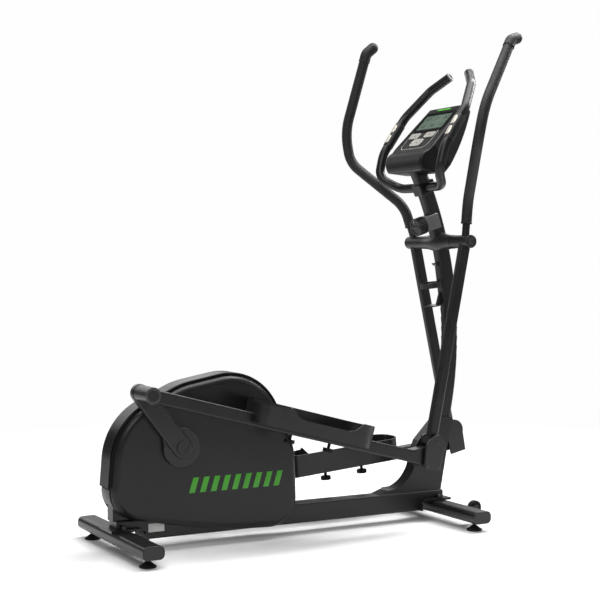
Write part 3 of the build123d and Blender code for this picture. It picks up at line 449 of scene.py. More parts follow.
    @classmethod
    def outward(cls, piece: bpy.types.Object) -> None:
        """Merges doubles and points every face outwards.

        Args:
            piece: The object to change.
        """
        cls.edit_all(piece)
        bpy.ops.mesh.remove_doubles(threshold=1e-6)
        bpy.ops.mesh.normals_make_consistent(inside=False)
        bpy.ops.object.mode_set(mode="OBJECT")

    @classmethod
    def fit(cls, piece: bpy.types.Object, matrix: Matrix) -> None:
        """Puts a piece in its place and points its faces outwards.

        Args:
            piece: The object to move.
            matrix: Frame that it goes to.
        """
        cls.place(piece, matrix)
        cls.outward(piece)

    @classmethod
    def deliver(
        cls,
        piece: bpy.types.Object,
        body: str,
        slot: Slot,
        material: bpy.types.Material,
        smooth: float = 35.0,
    ) -> bpy.types.Object:
        """Smooths a finished piece, dresses it and makes it ride on a CAD body.

        Args:
            piece: The finished piece, in place.
            body: CAD body that it moves with.
            slot: Material slot of the record that it belongs to; not used.
            material: Its material.
            smooth: Edges under this angle, in degrees, are shaded smooth.

        Returns:
            The same piece.
        """
        cls.only(piece)
        bpy.ops.object.shade_smooth_by_angle(angle=math.radians(smooth))
        piece.data.materials.clear()
        piece.data.materials.append(material)
        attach(piece, body)
        cls.clear()
        LOG.info("%s rides on %s (%d faces)", piece.name, body, len(piece.data.polygons))
        return piece


# ------------------------------------------------------------------ shader groups
def add_node(
    tree: bpy.types.NodeTree,
    kind: str,
    inputs: dict[str | int, object] | None = None,
    **settings: object,
) -> bpy.types.Node:
    """Adds a shader node, sets it and fills its inputs.

    Args:
        tree: The tree it goes into.
        kind: Its type, without the leading ShaderNode.
        inputs: A value or an output socket for each input, by name or number.
        settings: Values of its properties.

    Returns:
        The new node.
    """
    node = tree.nodes.new(f"ShaderNode{kind}")
    for key, value in settings.items():
        setattr(node, key, value)
    for key, value in (inputs or {}).items():
        if isinstance(value, bpy.types.NodeSocket):
            tree.links.new(value, node.inputs[key])
        else:
            node.inputs[key].default_value = value
    return node


class ShaderGroups:
    """Node groups for effects that several finishes share, each built once."""

    def __init__(self) -> None:
        """Builds all the groups."""
        self.grain = self._grain()
        self.rubbed = self._rubbed()
        self.dust = self._dust()

    @staticmethod
    def _start(
        name: str, numbers: dict[str, float], outputs: Sequence[str]
    ) -> tuple[bpy.types.NodeTree, bpy.types.Node, bpy.types.Node]:
        """Makes an empty group with a Vector input and its numbers.

        Args:
            name: Name of the group.
            numbers: Name and default of each number input.
            outputs: Names of the number outputs.

        Returns:
            The group, its input node and its output node.
        """
        group = bpy.data.node_groups.new(name, "ShaderNodeTree")
        make = group.interface.new_socket
        make(name="Vector", in_out="INPUT", socket_type="NodeSocketVector")
        for label, default in numbers.items():
            socket = make(name=label, in_out="INPUT", socket_type="NodeSocketFloat")
            socket.default_value = default
        for label in outputs:
            make(name=label, in_out="OUTPUT", socket_type="NodeSocketFloat")
        return group, group.nodes.new("NodeGroupInput"), group.nodes.new("NodeGroupOutput")

    @staticmethod
    def _times(
        group: bpy.types.NodeTree, first: bpy.types.NodeSocket, second: bpy.types.NodeSocket
    ) -> bpy.types.NodeSocket:
        """Product of two numbers in a group.

        Args:
            group: The group it goes into.
            first: One number.
            second: The other number.

        Returns:
            Socket with the product.
        """
        product = add_node(group, "Math", {0: first, 1: second}, operation="MULTIPLY")
        return product.outputs["Value"]

    @staticmethod
    def _between(
        group: bpy.types.NodeTree, value: bpy.types.NodeSocket, low: float, high: float
    ) -> bpy.types.NodeSocket:
        """Nought below the low limit, one above the high one, and a ramp between them.

        Args:
            group: The group it goes into.
            value: The number to judge.
            low: The low limit.
            high: The high limit.

        Returns:
            Socket with the result.
        """
        limits = {"Value": value, "From Min": low, "From Max": high}
        return add_node(group, "MapRange", limits).outputs["Result"]

    def _grain(self) -> bpy.types.NodeTree:
        """Fine moulded or sprayed grain, and a slow mottling of the same surface."""
        group, start, end = self._start(
            "surface grain", {"Fine": 900.0, "Slow": 14.0}, ["Height", "Mottle"]
        )
        place, fine, slow = (start.outputs[label] for label in ("Vector", "Fine", "Slow"))
        grain = add_node(group, "TexNoise", {"Vector": place, "Scale": fine, "Detail": 3.0})
        mottle = add_node(
            group, "TexNoise", {"Vector": place, "Scale": slow, "Detail": 5.0, "Roughness": 0.6}
        )
        group.links.new(grain.outputs["Fac"], end.inputs["Height"])
        spread = self._between(group, mottle.outputs["Fac"], 0.3, 0.7)
        group.links.new(spread, end.inputs["Mottle"])
        return group

    def _rubbed(self) -> bpy.types.NodeTree:
        """Thin scattered scuffs, as long streaks broken up by a second noise."""
        group, start, end = self._start("rubbed scuffs", {"Amount": 0.3}, ["Mask"])
        place = start.outputs["Vector"]
        stretch = add_node(
            group,
            "Mapping",
            {"Vector": place, "Scale": (1.0, 5.0, 9.0), "Rotation": (0.3, 0.5, 0.2)},
        ).outputs["Vector"]
        streak = add_node(group, "TexNoise", {"Vector": stretch, "Scale": 42.0, "Detail": 6.0})
        patch = add_node(group, "TexNoise", {"Vector": place, "Scale": 9.0})
        both = self._times(
            group,
            self._between(group, streak.outputs["Fac"], 0.60, 0.72),
            self._between(group, patch.outputs["Fac"], 0.45, 0.70),
        )
        mask = self._times(group, both, start.outputs["Amount"])
        group.links.new(mask, end.inputs["Mask"])
        return group

    def _dust(self) -> bpy.types.NodeTree:
        """Thin dust that settles on faces that look up."""
        group, start, end = self._start("settled dust", {"Amount": 0.1}, ["Mask"])
        shape = add_node(group, "NewGeometry")
        parts = add_node(group, "SeparateXYZ", {"Vector": shape.outputs["Normal"]})
        cloud = add_node(
            group, "TexNoise", {"Vector": start.outputs["Vector"], "Scale": 60.0, "Detail": 6.0}
        )
        facing = self._between(group, parts.outputs["Z"], 0.55, 1.0)
        both = self._times(group, facing, cloud.outputs["Fac"])
        mask = self._times(group, both, start.outputs["Amount"])
        group.links.new(mask, end.inputs["Mask"])
        return group


class Pattern(Enum):
    """Fine structure that a finish has under its colour."""

    GRAIN = "grain"
    CELLS = "cells"
    BRUSHED = "brushed"
    RIBBED = "ribbed"


@dataclass(frozen=True)
class Finish:
    """One finish: its colours, gloss and the detail in its surface."""

    label: str
    colour: tuple[float, float, float]
    mottled: tuple[float, float, float]
    roughness: float
    metallic: float = 0.0
    coat: float = 0.0
    specular: float = 0.5
    fine: float = 900.0
    slow: float = 14.0
    depth: float = 0.00005
    scuffs: float = 0.25
    dust: float = 0.08
    pattern: Pattern = Pattern.GRAIN
    coat_roughness: float = 0.12
    dust_colour: tuple[float, float, float] = (0.42, 0.40, 0.37)
    worn_gain: float = 1.5
    worn_lift: float = 0.02
    gloss_below: float = 0.05
    gloss_above: float = 0.06
    worn_roughness: float = 0.35
    bump_strength: float = 0.35
    brush_stretch: tuple[float, float, float] = (1.0, 0.04, 1.0)

    def build(self, groups: ShaderGroups) -> bpy.types.Material:
        """Makes the material.

        Args:
            groups: Shared shader groups.

        Returns:
            A new material with this finish.
        """
        material = bpy.data.materials.new(self.label)
        material.use_nodes = True
        tree = material.node_tree
        shader = tree.nodes["Principled BSDF"]
        for socket, value in (
            ("Metallic", self.metallic),
            ("Specular IOR Level", self.specular),
            ("Coat Weight", self.coat),
            ("Coat Roughness", self.coat_roughness),
        ):
            shader.inputs[socket].default_value = value
        place = add_node(tree, "TexCoord").outputs["Object"]
        grain = add_node(
            tree,
            "Group",
            {"Vector": place, "Fine": self.fine, "Slow": self.slow},
            node_tree=groups.grain,
        )
        rubbed, dust = (
            add_node(
                tree, "Group", {"Vector": place, "Amount": amount}, node_tree=group
            ).outputs["Mask"]
            for group, amount in ((groups.rubbed, self.scuffs), (groups.dust, self.dust))
        )
        mottle = grain.outputs["Mottle"]
        worn = tuple(min(1.0, part * self.worn_gain + self.worn_lift) for part in self.colour)
        colour = self._mix(tree, mottle, self.colour, self.mottled)
        colour = self._mix(tree, rubbed, colour, worn)
        colour = self._mix(tree, dust, colour, self.dust_colour)
        tree.links.new(colour, shader.inputs["Base Color"])
        least = max(0.02, self.roughness - self.gloss_below)
        most = min(1.0, self.roughness + self.gloss_above)
        gloss = add_node(tree, "MapRange", {"Value": mottle, "To Min": least, "To Max": most})
        dulled = add_node(
            tree,
            "Math",
            {0: rubbed, 1: self.worn_roughness, 2: gloss.outputs["Result"]},
            operation="MULTIPLY_ADD",
            use_clamp=True,
        )
        tree.links.new(dulled.outputs["Value"], shader.inputs["Roughness"])
        height = self._height(tree, place, grain)
        bump = add_node(
            tree,
            "Bump",
            {"Strength": self.bump_strength, "Distance": self.depth, "Height": height},
        )
        tree.links.new(bump.outputs["Normal"], shader.inputs["Normal"])
        return material

    @staticmethod
    def _mix(
        tree: bpy.types.NodeTree,
        mask: bpy.types.NodeSocket,
        first: bpy.types.NodeSocket | tuple[float, float, float],
        second: tuple[float, float, float],
    ) -> bpy.types.NodeSocket:
        """Mixes two colours by a mask.

        Args:
            tree: The material's node tree.
            mask: How much of the second colour shows.
            first: The first colour, fixed or from a socket.
            second: The second colour.

        Returns:
            The mixed colour's socket.
        """
        start = (*first, 1.0) if isinstance(first, tuple) else first
        inputs = {"Factor": mask, 6: start, 7: (*second, 1.0)}
        return add_node(tree, "Mix", inputs, data_type="RGBA").outputs[2]

    def _height(
        self, tree: bpy.types.NodeTree, place: bpy.types.NodeSocket, grain: bpy.types.Node
    ) -> bpy.types.NodeSocket:
        """Height of the fine structure that this finish has.

        Args:
            tree: The material's node tree.
            place: Object coordinates.
            grain: The grain group's node in this tree.

        Returns:
            Socket with the height.
        """
        scaled = {"Vector": place, "Scale": self.fine}
        if self.pattern is Pattern.CELLS:
            return add_node(tree, "TexVoronoi", scaled).outputs["Distance"]
        if self.pattern is Pattern.BRUSHED:
            inputs = {"Vector": place, "Scale": self.brush_stretch}
            stretch = add_node(tree, "Mapping", inputs).outputs["Vector"]
            scaled |= {"Vector": stretch, "Detail": 2.0}
            return add_node(tree, "TexNoise", scaled).outputs["Fac"]
        if self.pattern is Pattern.RIBBED:
            return add_node(tree, "TexWave", {**scaled, "Distortion": 0.4}).outputs["Fac"]
        return grain.outputs["Height"]


class FinishShop:
    """Makes each finish once and dresses the CAD nodes."""

    finishes: tuple[Finish, ...] = (
        Finish("satin black powder coat", (0.0065, 0.0065, 0.0070), (0.010, 0.010, 0.0105), 0.33,
               specular=0.36, fine=1300.0, slow=9.0, depth=0.00004, scuffs=0.20, dust=0.03),
        Finish("charcoal textured shell", (0.0075, 0.0073, 0.0076), (0.0102, 0.0099, 0.0103), 0.31,
               specular=0.32, fine=1500.0, slow=5.0, depth=0.00004, scuffs=0.10, dust=0.03),
        Finish("gloss black band", (0.0020, 0.0020, 0.0022), (0.0035, 0.0035, 0.004), 0.24,
               specular=0.12, fine=60.0, slow=7.0, depth=0.00001, scuffs=0.08, dust=0.02),
        Finish("dark grey moulding", (0.0105, 0.0105, 0.0110), (0.0155, 0.0155, 0.016), 0.34,
               specular=0.40, fine=1100.0, slow=16.0, depth=0.00006, scuffs=0.22, dust=0.04),
        Finish("mid grey moulding", (0.11, 0.11, 0.115), (0.15, 0.15, 0.155), 0.45,
               fine=1000.0, slow=16.0, depth=0.00006, scuffs=0.15, dust=0.05),
        Finish("console moulding", (0.0060, 0.0060, 0.0066), (0.009, 0.009, 0.010), 0.36,
               specular=0.28, fine=1200.0, slow=12.0, depth=0.00002, scuffs=0.08, dust=0.03),
        Finish("display window", (0.075, 0.115, 0.085), (0.100, 0.145, 0.108), 0.16,
               coat=0.5, fine=240.0, slow=22.0, depth=0.000002, scuffs=0.05, dust=0.02),
        Finish("silver key lacquer", (0.34, 0.33, 0.30), (0.40, 0.39, 0.36), 0.34,
               metallic=0.15, coat=0.2, fine=1500.0, slow=30.0, depth=0.00001, scuffs=0.10,
               dust=0.04),
        Finish("ivory contact plate", (0.50, 0.47, 0.41), (0.57, 0.54, 0.47), 0.34,
               metallic=0.2, fine=700.0, slow=40.0, depth=0.00001, scuffs=0.15, dust=0.02,
               pattern=Pattern.BRUSHED),
        Finish("matt foam", (0.0075, 0.0075, 0.0080), (0.0120, 0.0118, 0.0122), 0.56,
               specular=0.40, fine=1700.0, slow=20.0, depth=0.00025, scuffs=0.08, dust=0.03,
               pattern=Pattern.CELLS),
        Finish("soft black rubber", (0.0065, 0.0065, 0.0065), (0.011, 0.011, 0.011), 0.68,
               specular=0.28, fine=800.0, slow=24.0, depth=0.00008, scuffs=0.22, dust=0.06),
        Finish("brushed steel", (0.36, 0.36, 0.37), (0.45, 0.45, 0.46), 0.34,
               metallic=1.0, fine=1800.0, slow=30.0, depth=0.00002, scuffs=0.30, dust=0.04,
               pattern=Pattern.BRUSHED),
        Finish("blackened bolt steel", (0.055, 0.055, 0.058), (0.10, 0.10, 0.105), 0.36,
               metallic=0.9, fine=1500.0, slow=60.0, depth=0.00003, scuffs=0.45, dust=0.04),
        Finish("turned iron", (0.15, 0.15, 0.155), (0.20, 0.20, 0.205), 0.42,
               metallic=1.0, fine=900.0, slow=12.0, depth=0.00005, scuffs=0.3, dust=0.05),
        Finish("ribbed belt", (0.012, 0.012, 0.012), (0.018, 0.018, 0.018), 0.6,
               fine=120.0, depth=0.0004, pattern=Pattern.RIBBED),
        Finish("green accent ink", (0.052, 0.29, 0.022), (0.062, 0.34, 0.028), 0.45,
               specular=0.35, fine=1400.0, slow=30.0, depth=0.00002, scuffs=0.10, dust=0.02),
        Finish("display ink", (0.010, 0.014, 0.012), (0.016, 0.020, 0.018), 0.30,
               fine=900.0, slow=60.0, depth=0.00001, scuffs=0.0, dust=0.0),
        Finish("blank label film", (0.50, 0.50, 0.48), (0.58, 0.58, 0.56), 0.42,
               fine=900.0, slow=50.0, depth=0.00002, scuffs=0.25, dust=0.06),
    )
    worn_by: dict[str, tuple[str, ...]] = {
        "satin black powder coat": (
            "frame_beam", "mast", "rear_stabiliser", "front_stabiliser", "handlebar", "foot_rod",
            "swing_arm", "handle_tube", "drive_bracket",
        ),
        "charcoal textured shell": ("shroud_left", "shroud_right"),
        "gloss black band": ("shroud_spine",),
        "dark grey moulding": (
            "stabiliser_caps", "axle_cover", "tension_knob", "bottle_cage", "crank_cover",
            "joint_cover", "pedal",
        ),
        "soft black rubber": ("pedal_knob", "levelling_foot", "transport_wheel"),
        "mid grey moulding": ("tension_bracket", "drive_pulley", "idler_roller"),
        "console moulding": ("console_back", "console_face"),
        "display window": ("console_screen",),
        "silver key lacquer": ("key_",),
        "ivory contact plate": ("pulse_sensors",),
        "matt foam": ("handle_grip",),
        "ribbed belt": ("drive_belt",),
        "turned iron": ("flywheel",),
        "blackened bolt steel": ("saddle_bolts", "crank_pin"),
        "brushed steel": (
            "axle_tube", "crank_axle", "crank_arm", "crank_bearings", "magnet_bracket",
            "console_bracket",
        ),
    }

    def __init__(self) -> None:
        """Builds every material."""
        groups = ShaderGroups()
        self.materials = {finish.label: finish.build(groups) for finish in self.finishes}

    def get(self, label: str) -> bpy.types.Material:
        """Material of one finish.

        Args:
            label: Label of the finish.

        Returns:
            Its material.
        """
        return self.materials[label]

    def dress_cad(self) -> None:
        """Gives every CAD node the finish with the longest name that its own starts with."""
        starts = {start: label for label, names in self.worn_by.items() for start in names}
        for name, node in frame["nodes"].items():
            label = starts[max((start for start in starts if name.startswith(start)), key=len)]
            node.data.materials.clear()
            node.data.materials.append(self.get(label))
            LOG.info("%s is finished in %s", name, label)


# ------------------------------------------------------------------ shroud
@dataclass
class Shroud:
    """Trim on the drive shroud: covers low on its rear and its front, and accent bars."""

    shop: FinishShop
    rear_run: tuple[float, float] = (112.0 * MM, 197.0 * MM)
    rear_half: float = 34.0 * MM
    front_run: tuple[float, float] = (168.0 * MM, 262.0 * MM)
    front_half: float = 22.0 * MM
    band_cells: tuple[int, int] = (14, 20)
    band_proud: float = 4.5 * MM
    band_fall: float = 0.35
    band_wall: float = 3.0 * MM
    band_rounding: tuple[float, int] = (0.8 * MM, 2)
    seam_reach: float = 2.0 * MM
    notch_half: float = 11.0 * MM
    notch_high: float = 24.0 * MM
    bar_size: tuple[float, float, float] = (19.0 * MM, 0.5 * MM, 46.0 * MM)
    bar_lean: float = 14.0 * MM
    bar_pitch: float = 36.0 * MM
    bar_count: int = 9
    bar_middle: tuple[float, float] = (358.0 * MM, 192.0 * MM)
    bar_rounding: tuple[float, int] = (0.2 * MM, 2)
    bar_sink: float = 0.1 * MM
    half_width: float = 55.0 * MM
    ray_start: float = 3.0

    def skin_x(self, height: float, across: float, front: bool) -> float:
        """X of the shell's skin at a height.

        Args:
            height: Z of the ray.
            across: Y of the ray.
            front: True for the front of the shell, False for its rear.

        Returns:
            X where a level ray from outside meets the shell.
        """
        shell = frame["nodes"]["shroud_left" if across > 0 else "shroud_right"]
        start = self.ray_start if front else -self.ray_start
        origin = Vector((start, across, height))
        found, where, _, _ = shell.ray_cast(origin, Vector((-start, 0.0, 0.0)))
        if not found:
            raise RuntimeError(f"no skin of the shroud at height {height:.3f}")
        return where.x

    def band(
        self, name: str, run: tuple[float, float], half: float, front: bool
    ) -> bpy.types.Object:
        """Curved sheet that follows the skin of the shell.

        Args:
            name: Name of the piece.
            run: Its lowest and highest Z.
            half: Half of its width.
            front: Which end of the shroud it lies on.

        Returns:
            The new piece, in place.
        """
        piece = Workshop.sheet(name, *self.band_cells)
        outward = 1.0 if front else -1.0
        low, high = run
        for vertex in piece.data.vertices:
            height = low + (vertex.co.y + 0.5) * (high - low)
            across = 2 * half * vertex.co.x
            crown = self.band_proud * (1.0 - self.band_fall * (across / half) ** 2)
            probe = math.copysign(max(abs(across), self.seam_reach), across or 1.0)
            skin = self.skin_x(height, probe, front)
            vertex.co = (skin + outward * crown, across, height)
        Workshop.outward(piece)
        return piece

    def finish_band(self, piece: bpy.types.Object, slot: Slot, label: str) -> None:
        """Gives a cover its wall and rounded edges, and delivers it.

        Args:
            piece: The cover's outer skin.
            slot: Material slot of the record that it belongs to.
            label: Label of its finish.
        """
        Workshop.modifier(piece, "SOLIDIFY", thickness=self.band_wall, offset=-1.0)
        Workshop.outward(piece)
        Workshop.round_edges(piece, *self.band_rounding)
        Workshop.deliver(piece, "frame", slot, self.shop.get(label))

    def build(self) -> None:
        """Makes and delivers every piece of trim on the shroud."""
        rear = self.band("shroud_rear_cover", self.rear_run, self.rear_half, False)
        top = self.rear_run[0] + self.notch_high
        Workshop.edit_faces(rear, lambda mid, _: abs(mid.y) < self.notch_half and mid.z < top)
        bpy.ops.mesh.delete(type="FACE")
        bpy.ops.object.mode_set(mode="OBJECT")
        self.finish_band(rear, Slot.SHROUD, "dark grey moulding")
        front = self.band("shroud_front_cover", self.front_run, self.front_half, True)
        self.finish_band(front, Slot.GLOSS, "gloss black band")
        for side in Side:
            self.accent_bars(side)

    def accent_bars(self, side: Side) -> None:
        """Row of plain slanted bars on one flank.

        Args:
            side: Which flank.
        """
        bar = Workshop.brick("bar_model", self.bar_size)
        Workshop.edit_faces(bar, lambda _, normal: normal.z > FACING)
        bpy.ops.transform.translate(value=(self.bar_lean, 0.0, 0.0))
        bpy.ops.object.mode_set(mode="OBJECT")
        Workshop.round_edges(bar, *self.bar_rounding)
        ahead, height = self.bar_middle
        first = centre_of("rear_stabiliser").x + ahead - self.bar_pitch * (self.bar_count - 1) / 2
        reach = side.value * (self.half_width + self.bar_size[1] / 2 - self.bar_sink)
        places = [
            Matrix.Translation((first + index * self.bar_pitch, reach, height))
            for index in range(self.bar_count)
        ]
        piece = Workshop.copies(bar, f"accent_bars_{side.word}", places)
        Workshop.deliver(piece, "frame", Slot.SHROUD, self.shop.get("green accent ink"))


# ------------------------------------------------------------------ cranks
@dataclass
class CrankTrim:
    """Hub cap of one crank cover and the end cap of its crank pin."""

    shop: FinishShop
    side: Side
    hub_size: tuple[float, float] = (21.0 * MM, 3.5 * MM)
    pin_size: tuple[float, float] = (17.0 * MM, 2.2 * MM)
    cap_sides: int = 64
    rounded_share: float = 0.4
    rounded_steps: int = 4
    border_share: float = 0.22
    sunk_share: float = 0.35
    ring_share: float = 0.02

    def build(self) -> None:
        """Makes and delivers both caps."""
        word = self.side.word
        for part, size, centre, node, body in (
            ("hub", self.hub_size, "crank_axle", f"crank_cover_{word}", "crank"),
            ("pin", self.pin_size, f"crank_pin_{word}", f"crank_pin_{word}", f"rod_{word}"),
        ):
            radius, height = size
            rounding = (height * self.rounded_share, self.rounded_steps)
            recess = (radius * self.border_share, height * self.sunk_share)
            name = f"crank_{part}_cap_{word}"
            disc = Workshop.cap(name, size, rounding, recess, self.cap_sides)
            Workshop.inset_top(disc, radius * self.ring_share, 0.0)  # flat ring, sinks nothing
            Workshop.fit(disc, self.side.skin(node, centre_of(centre)))
            Workshop.deliver(disc, body, Slot.MOULDED, self.shop.get("dark grey moulding"))


# ------------------------------------------------------------------ pedals
@dataclass
class PedalTread:
    """Moulded grip studs between the ribs of one foot tray."""

    shop: FinishShop
    side: Side
    stud: tuple[float, float, float] = (11.0 * MM, 13.0 * MM, 3.0 * MM)
    floor: float = 24.0 * MM
    first: float = 427.0 * MM
    pitch: float = 34.0 * MM
    rows: int = 8
    columns: int = 4
    column_pitch: float = 24.0 * MM
    tray_middle: float = 150.0 * MM
    stud_taper: tuple[float, float, float] = (0.72, 0.78, 1.0)
    stud_rounding: tuple[float, int] = (0.6 * MM, 2)

    def rod_frame(self) -> Matrix:
        """Frame of the foot rod: origin at the crank pin, X along the tube, Z up."""
        word = self.side.word
        up = Vector(JOINTS[f"pedal_knob_rear_{word}_turn"]["axis"])
        along = Vector((0, 1, 0)).cross(up)
        origin = centre_of(f"crank_pin_{word}")
        origin.y = 0.0
        return basis(origin, along, up)

    def build(self) -> None:
        """Makes and delivers the studs."""
        stud = Workshop.brick("stud_model", self.stud)
        Workshop.edit_faces(stud, lambda _, normal: normal.z > FACING)
        bpy.ops.transform.resize(value=self.stud_taper)
        bpy.ops.object.mode_set(mode="OBJECT")
        Workshop.round_edges(stud, *self.stud_rounding)
        local = self.rod_frame()
        word = self.side.word
        places = []
        for row in range(self.rows):
            for column in range(self.columns):
                across = self.tray_middle + (column - (self.columns - 1) / 2) * self.column_pitch
                spot = (self.first + row * self.pitch, self.side.value * across, self.floor)
                places.append(local @ Matrix.Translation(spot))
        piece = Workshop.copies(stud, f"tread_studs_{word}", places)
        rubber = self.shop.get("soft black rubber")
        Workshop.deliver(piece, f"rod_{word}", Slot.RUBBER, rubber)


# ------------------------------------------------------------------ swinging arms
@dataclass
class ArmTrim:
    """Screws on one arm's joint cover and collars on its foam grip."""

    shop: FinishShop
    side: Side
    arm_length: float = 698.65 * MM
    grip_start: tuple[float, float, float] = (-7.25 * MM, 148.0 * MM, 60.0 * MM)
    grip_after: tuple[float, float, float] = (-16.0 * MM, 148.0 * MM, 130.0 * MM)
    tip_start: tuple[float, float, float] = (-19.1 * MM, 230.4 * MM, 644.9 * MM)
    tip_after: tuple[float, float, float] = (-8.8 * MM, 224.0 * MM, 670.0 * MM)
    grip_radius: float = 17.5 * MM
    collar_wire: float = 2.2 * MM
    collar_bite: float = 0.5 * MM
    collar_smooth: float = 80.0
    screw_sides: int = 24
    screw_size: tuple[float, float] = (4.2 * MM, 1.8 * MM)
    screw_rounding: tuple[float, int] = (0.63 * MM, 3)
    screw_recess: tuple[float, float] = (1.78 * MM, 1.4 * MM)
    screw_spots: tuple[tuple[float, float], ...] = (
        (-19.0 * MM, -46.0 * MM),
        (20.0 * MM, -46.0 * MM),
        (2.0 * MM, 34.0 * MM),
    )

    def arm_frame(self) -> Matrix:
        """Frame of the arm: origin on the axle, Z from the rod's pivot up to the axle."""
        axle = joint_place(f"arm_{self.side.word}_swing")
        pivot = joint_place(f"rod_{self.side.word}_swing")
        up = axle - pivot
        along = Vector((0, 1, 0)).cross(up)
        return basis(axle, along, up)

    def collar(
        self, name: str, radius: float, start: Sequence[float], after: Sequence[float]
    ) -> None:
        """Rubber ring round the handle, square to the line through two of its points.

        Args:
            name: Name of the piece.
            radius: Radius of the ring.
            start: Where it sits, in the left arm's frame.
            after: A later point of the handle.
        """
        low = Vector(start) * self.side.mirror
        way = Vector(after) * self.side.mirror - low
        ring = Workshop.ring(name, radius, self.collar_wire)
        square = Vector((0, 1, 0)) if abs(way.y) < way.length * FACING else Vector((1, 0, 0))
        Workshop.fit(ring, self.arm_frame() @ basis(low, square.cross(way), way))
        rubber = self.shop.get("soft black rubber")
        Workshop.deliver(
            ring, f"arm_{self.side.word}", Slot.RUBBER, rubber, smooth=self.collar_smooth
        )

    def cover_screws(self) -> None:
        """Three sunk screws on the outer joint cover."""
        word = self.side.word
        local = self.arm_frame()
        places = [
            self.side.skin(f"joint_cover_{word}", local @ Vector((x, 0.0, z - self.arm_length)))
            for x, z in self.screw_spots
        ]
        head = Workshop.cap(
            "screw_model",
            self.screw_size,
            self.screw_rounding,
            self.screw_recess,
            self.screw_sides,
        )
        piece = Workshop.copies(head, f"cover_screws_{word}", places)
        steel = self.shop.get("blackened bolt steel")
        Workshop.deliver(piece, f"arm_{word}", Slot.BOLT, steel)

    def build(self) -> None:
        """Makes and delivers every piece of trim on the arm."""
        word = self.side.word
        self.cover_screws()
        low_radius = self.grip_radius - self.collar_bite
        self.collar(f"grip_collar_low_{word}", low_radius, self.grip_start, self.grip_after)
        self.collar(f"grip_collar_top_{word}", self.grip_radius, self.tip_start, self.tip_after)


# ------------------------------------------------------------------ axle
@dataclass
class AxleTrim:
    """Screwed plug in one end cap of the upper axle."""

    shop: FinishShop
    side: Side
    plug_size: tuple[float, float] = (11.0 * MM, 1.8 * MM)
    plug_rounding: tuple[float, int] = (0.72 * MM, 3)
    plug_recess: tuple[float, float] = (3.85 * MM, 0.9 * MM)

    def build(self) -> None:
        """Makes and delivers the plug."""
        plug = Workshop.cap(
            f"axle_plug_{self.side.word}", self.plug_size, self.plug_rounding, self.plug_recess
        )
        Workshop.fit(plug, self.side.skin("axle_cover", joint_place("arm_left_swing")))
        Workshop.deliver(plug, "frame", Slot.BOLT, self.shop.get("blackened bolt steel"))


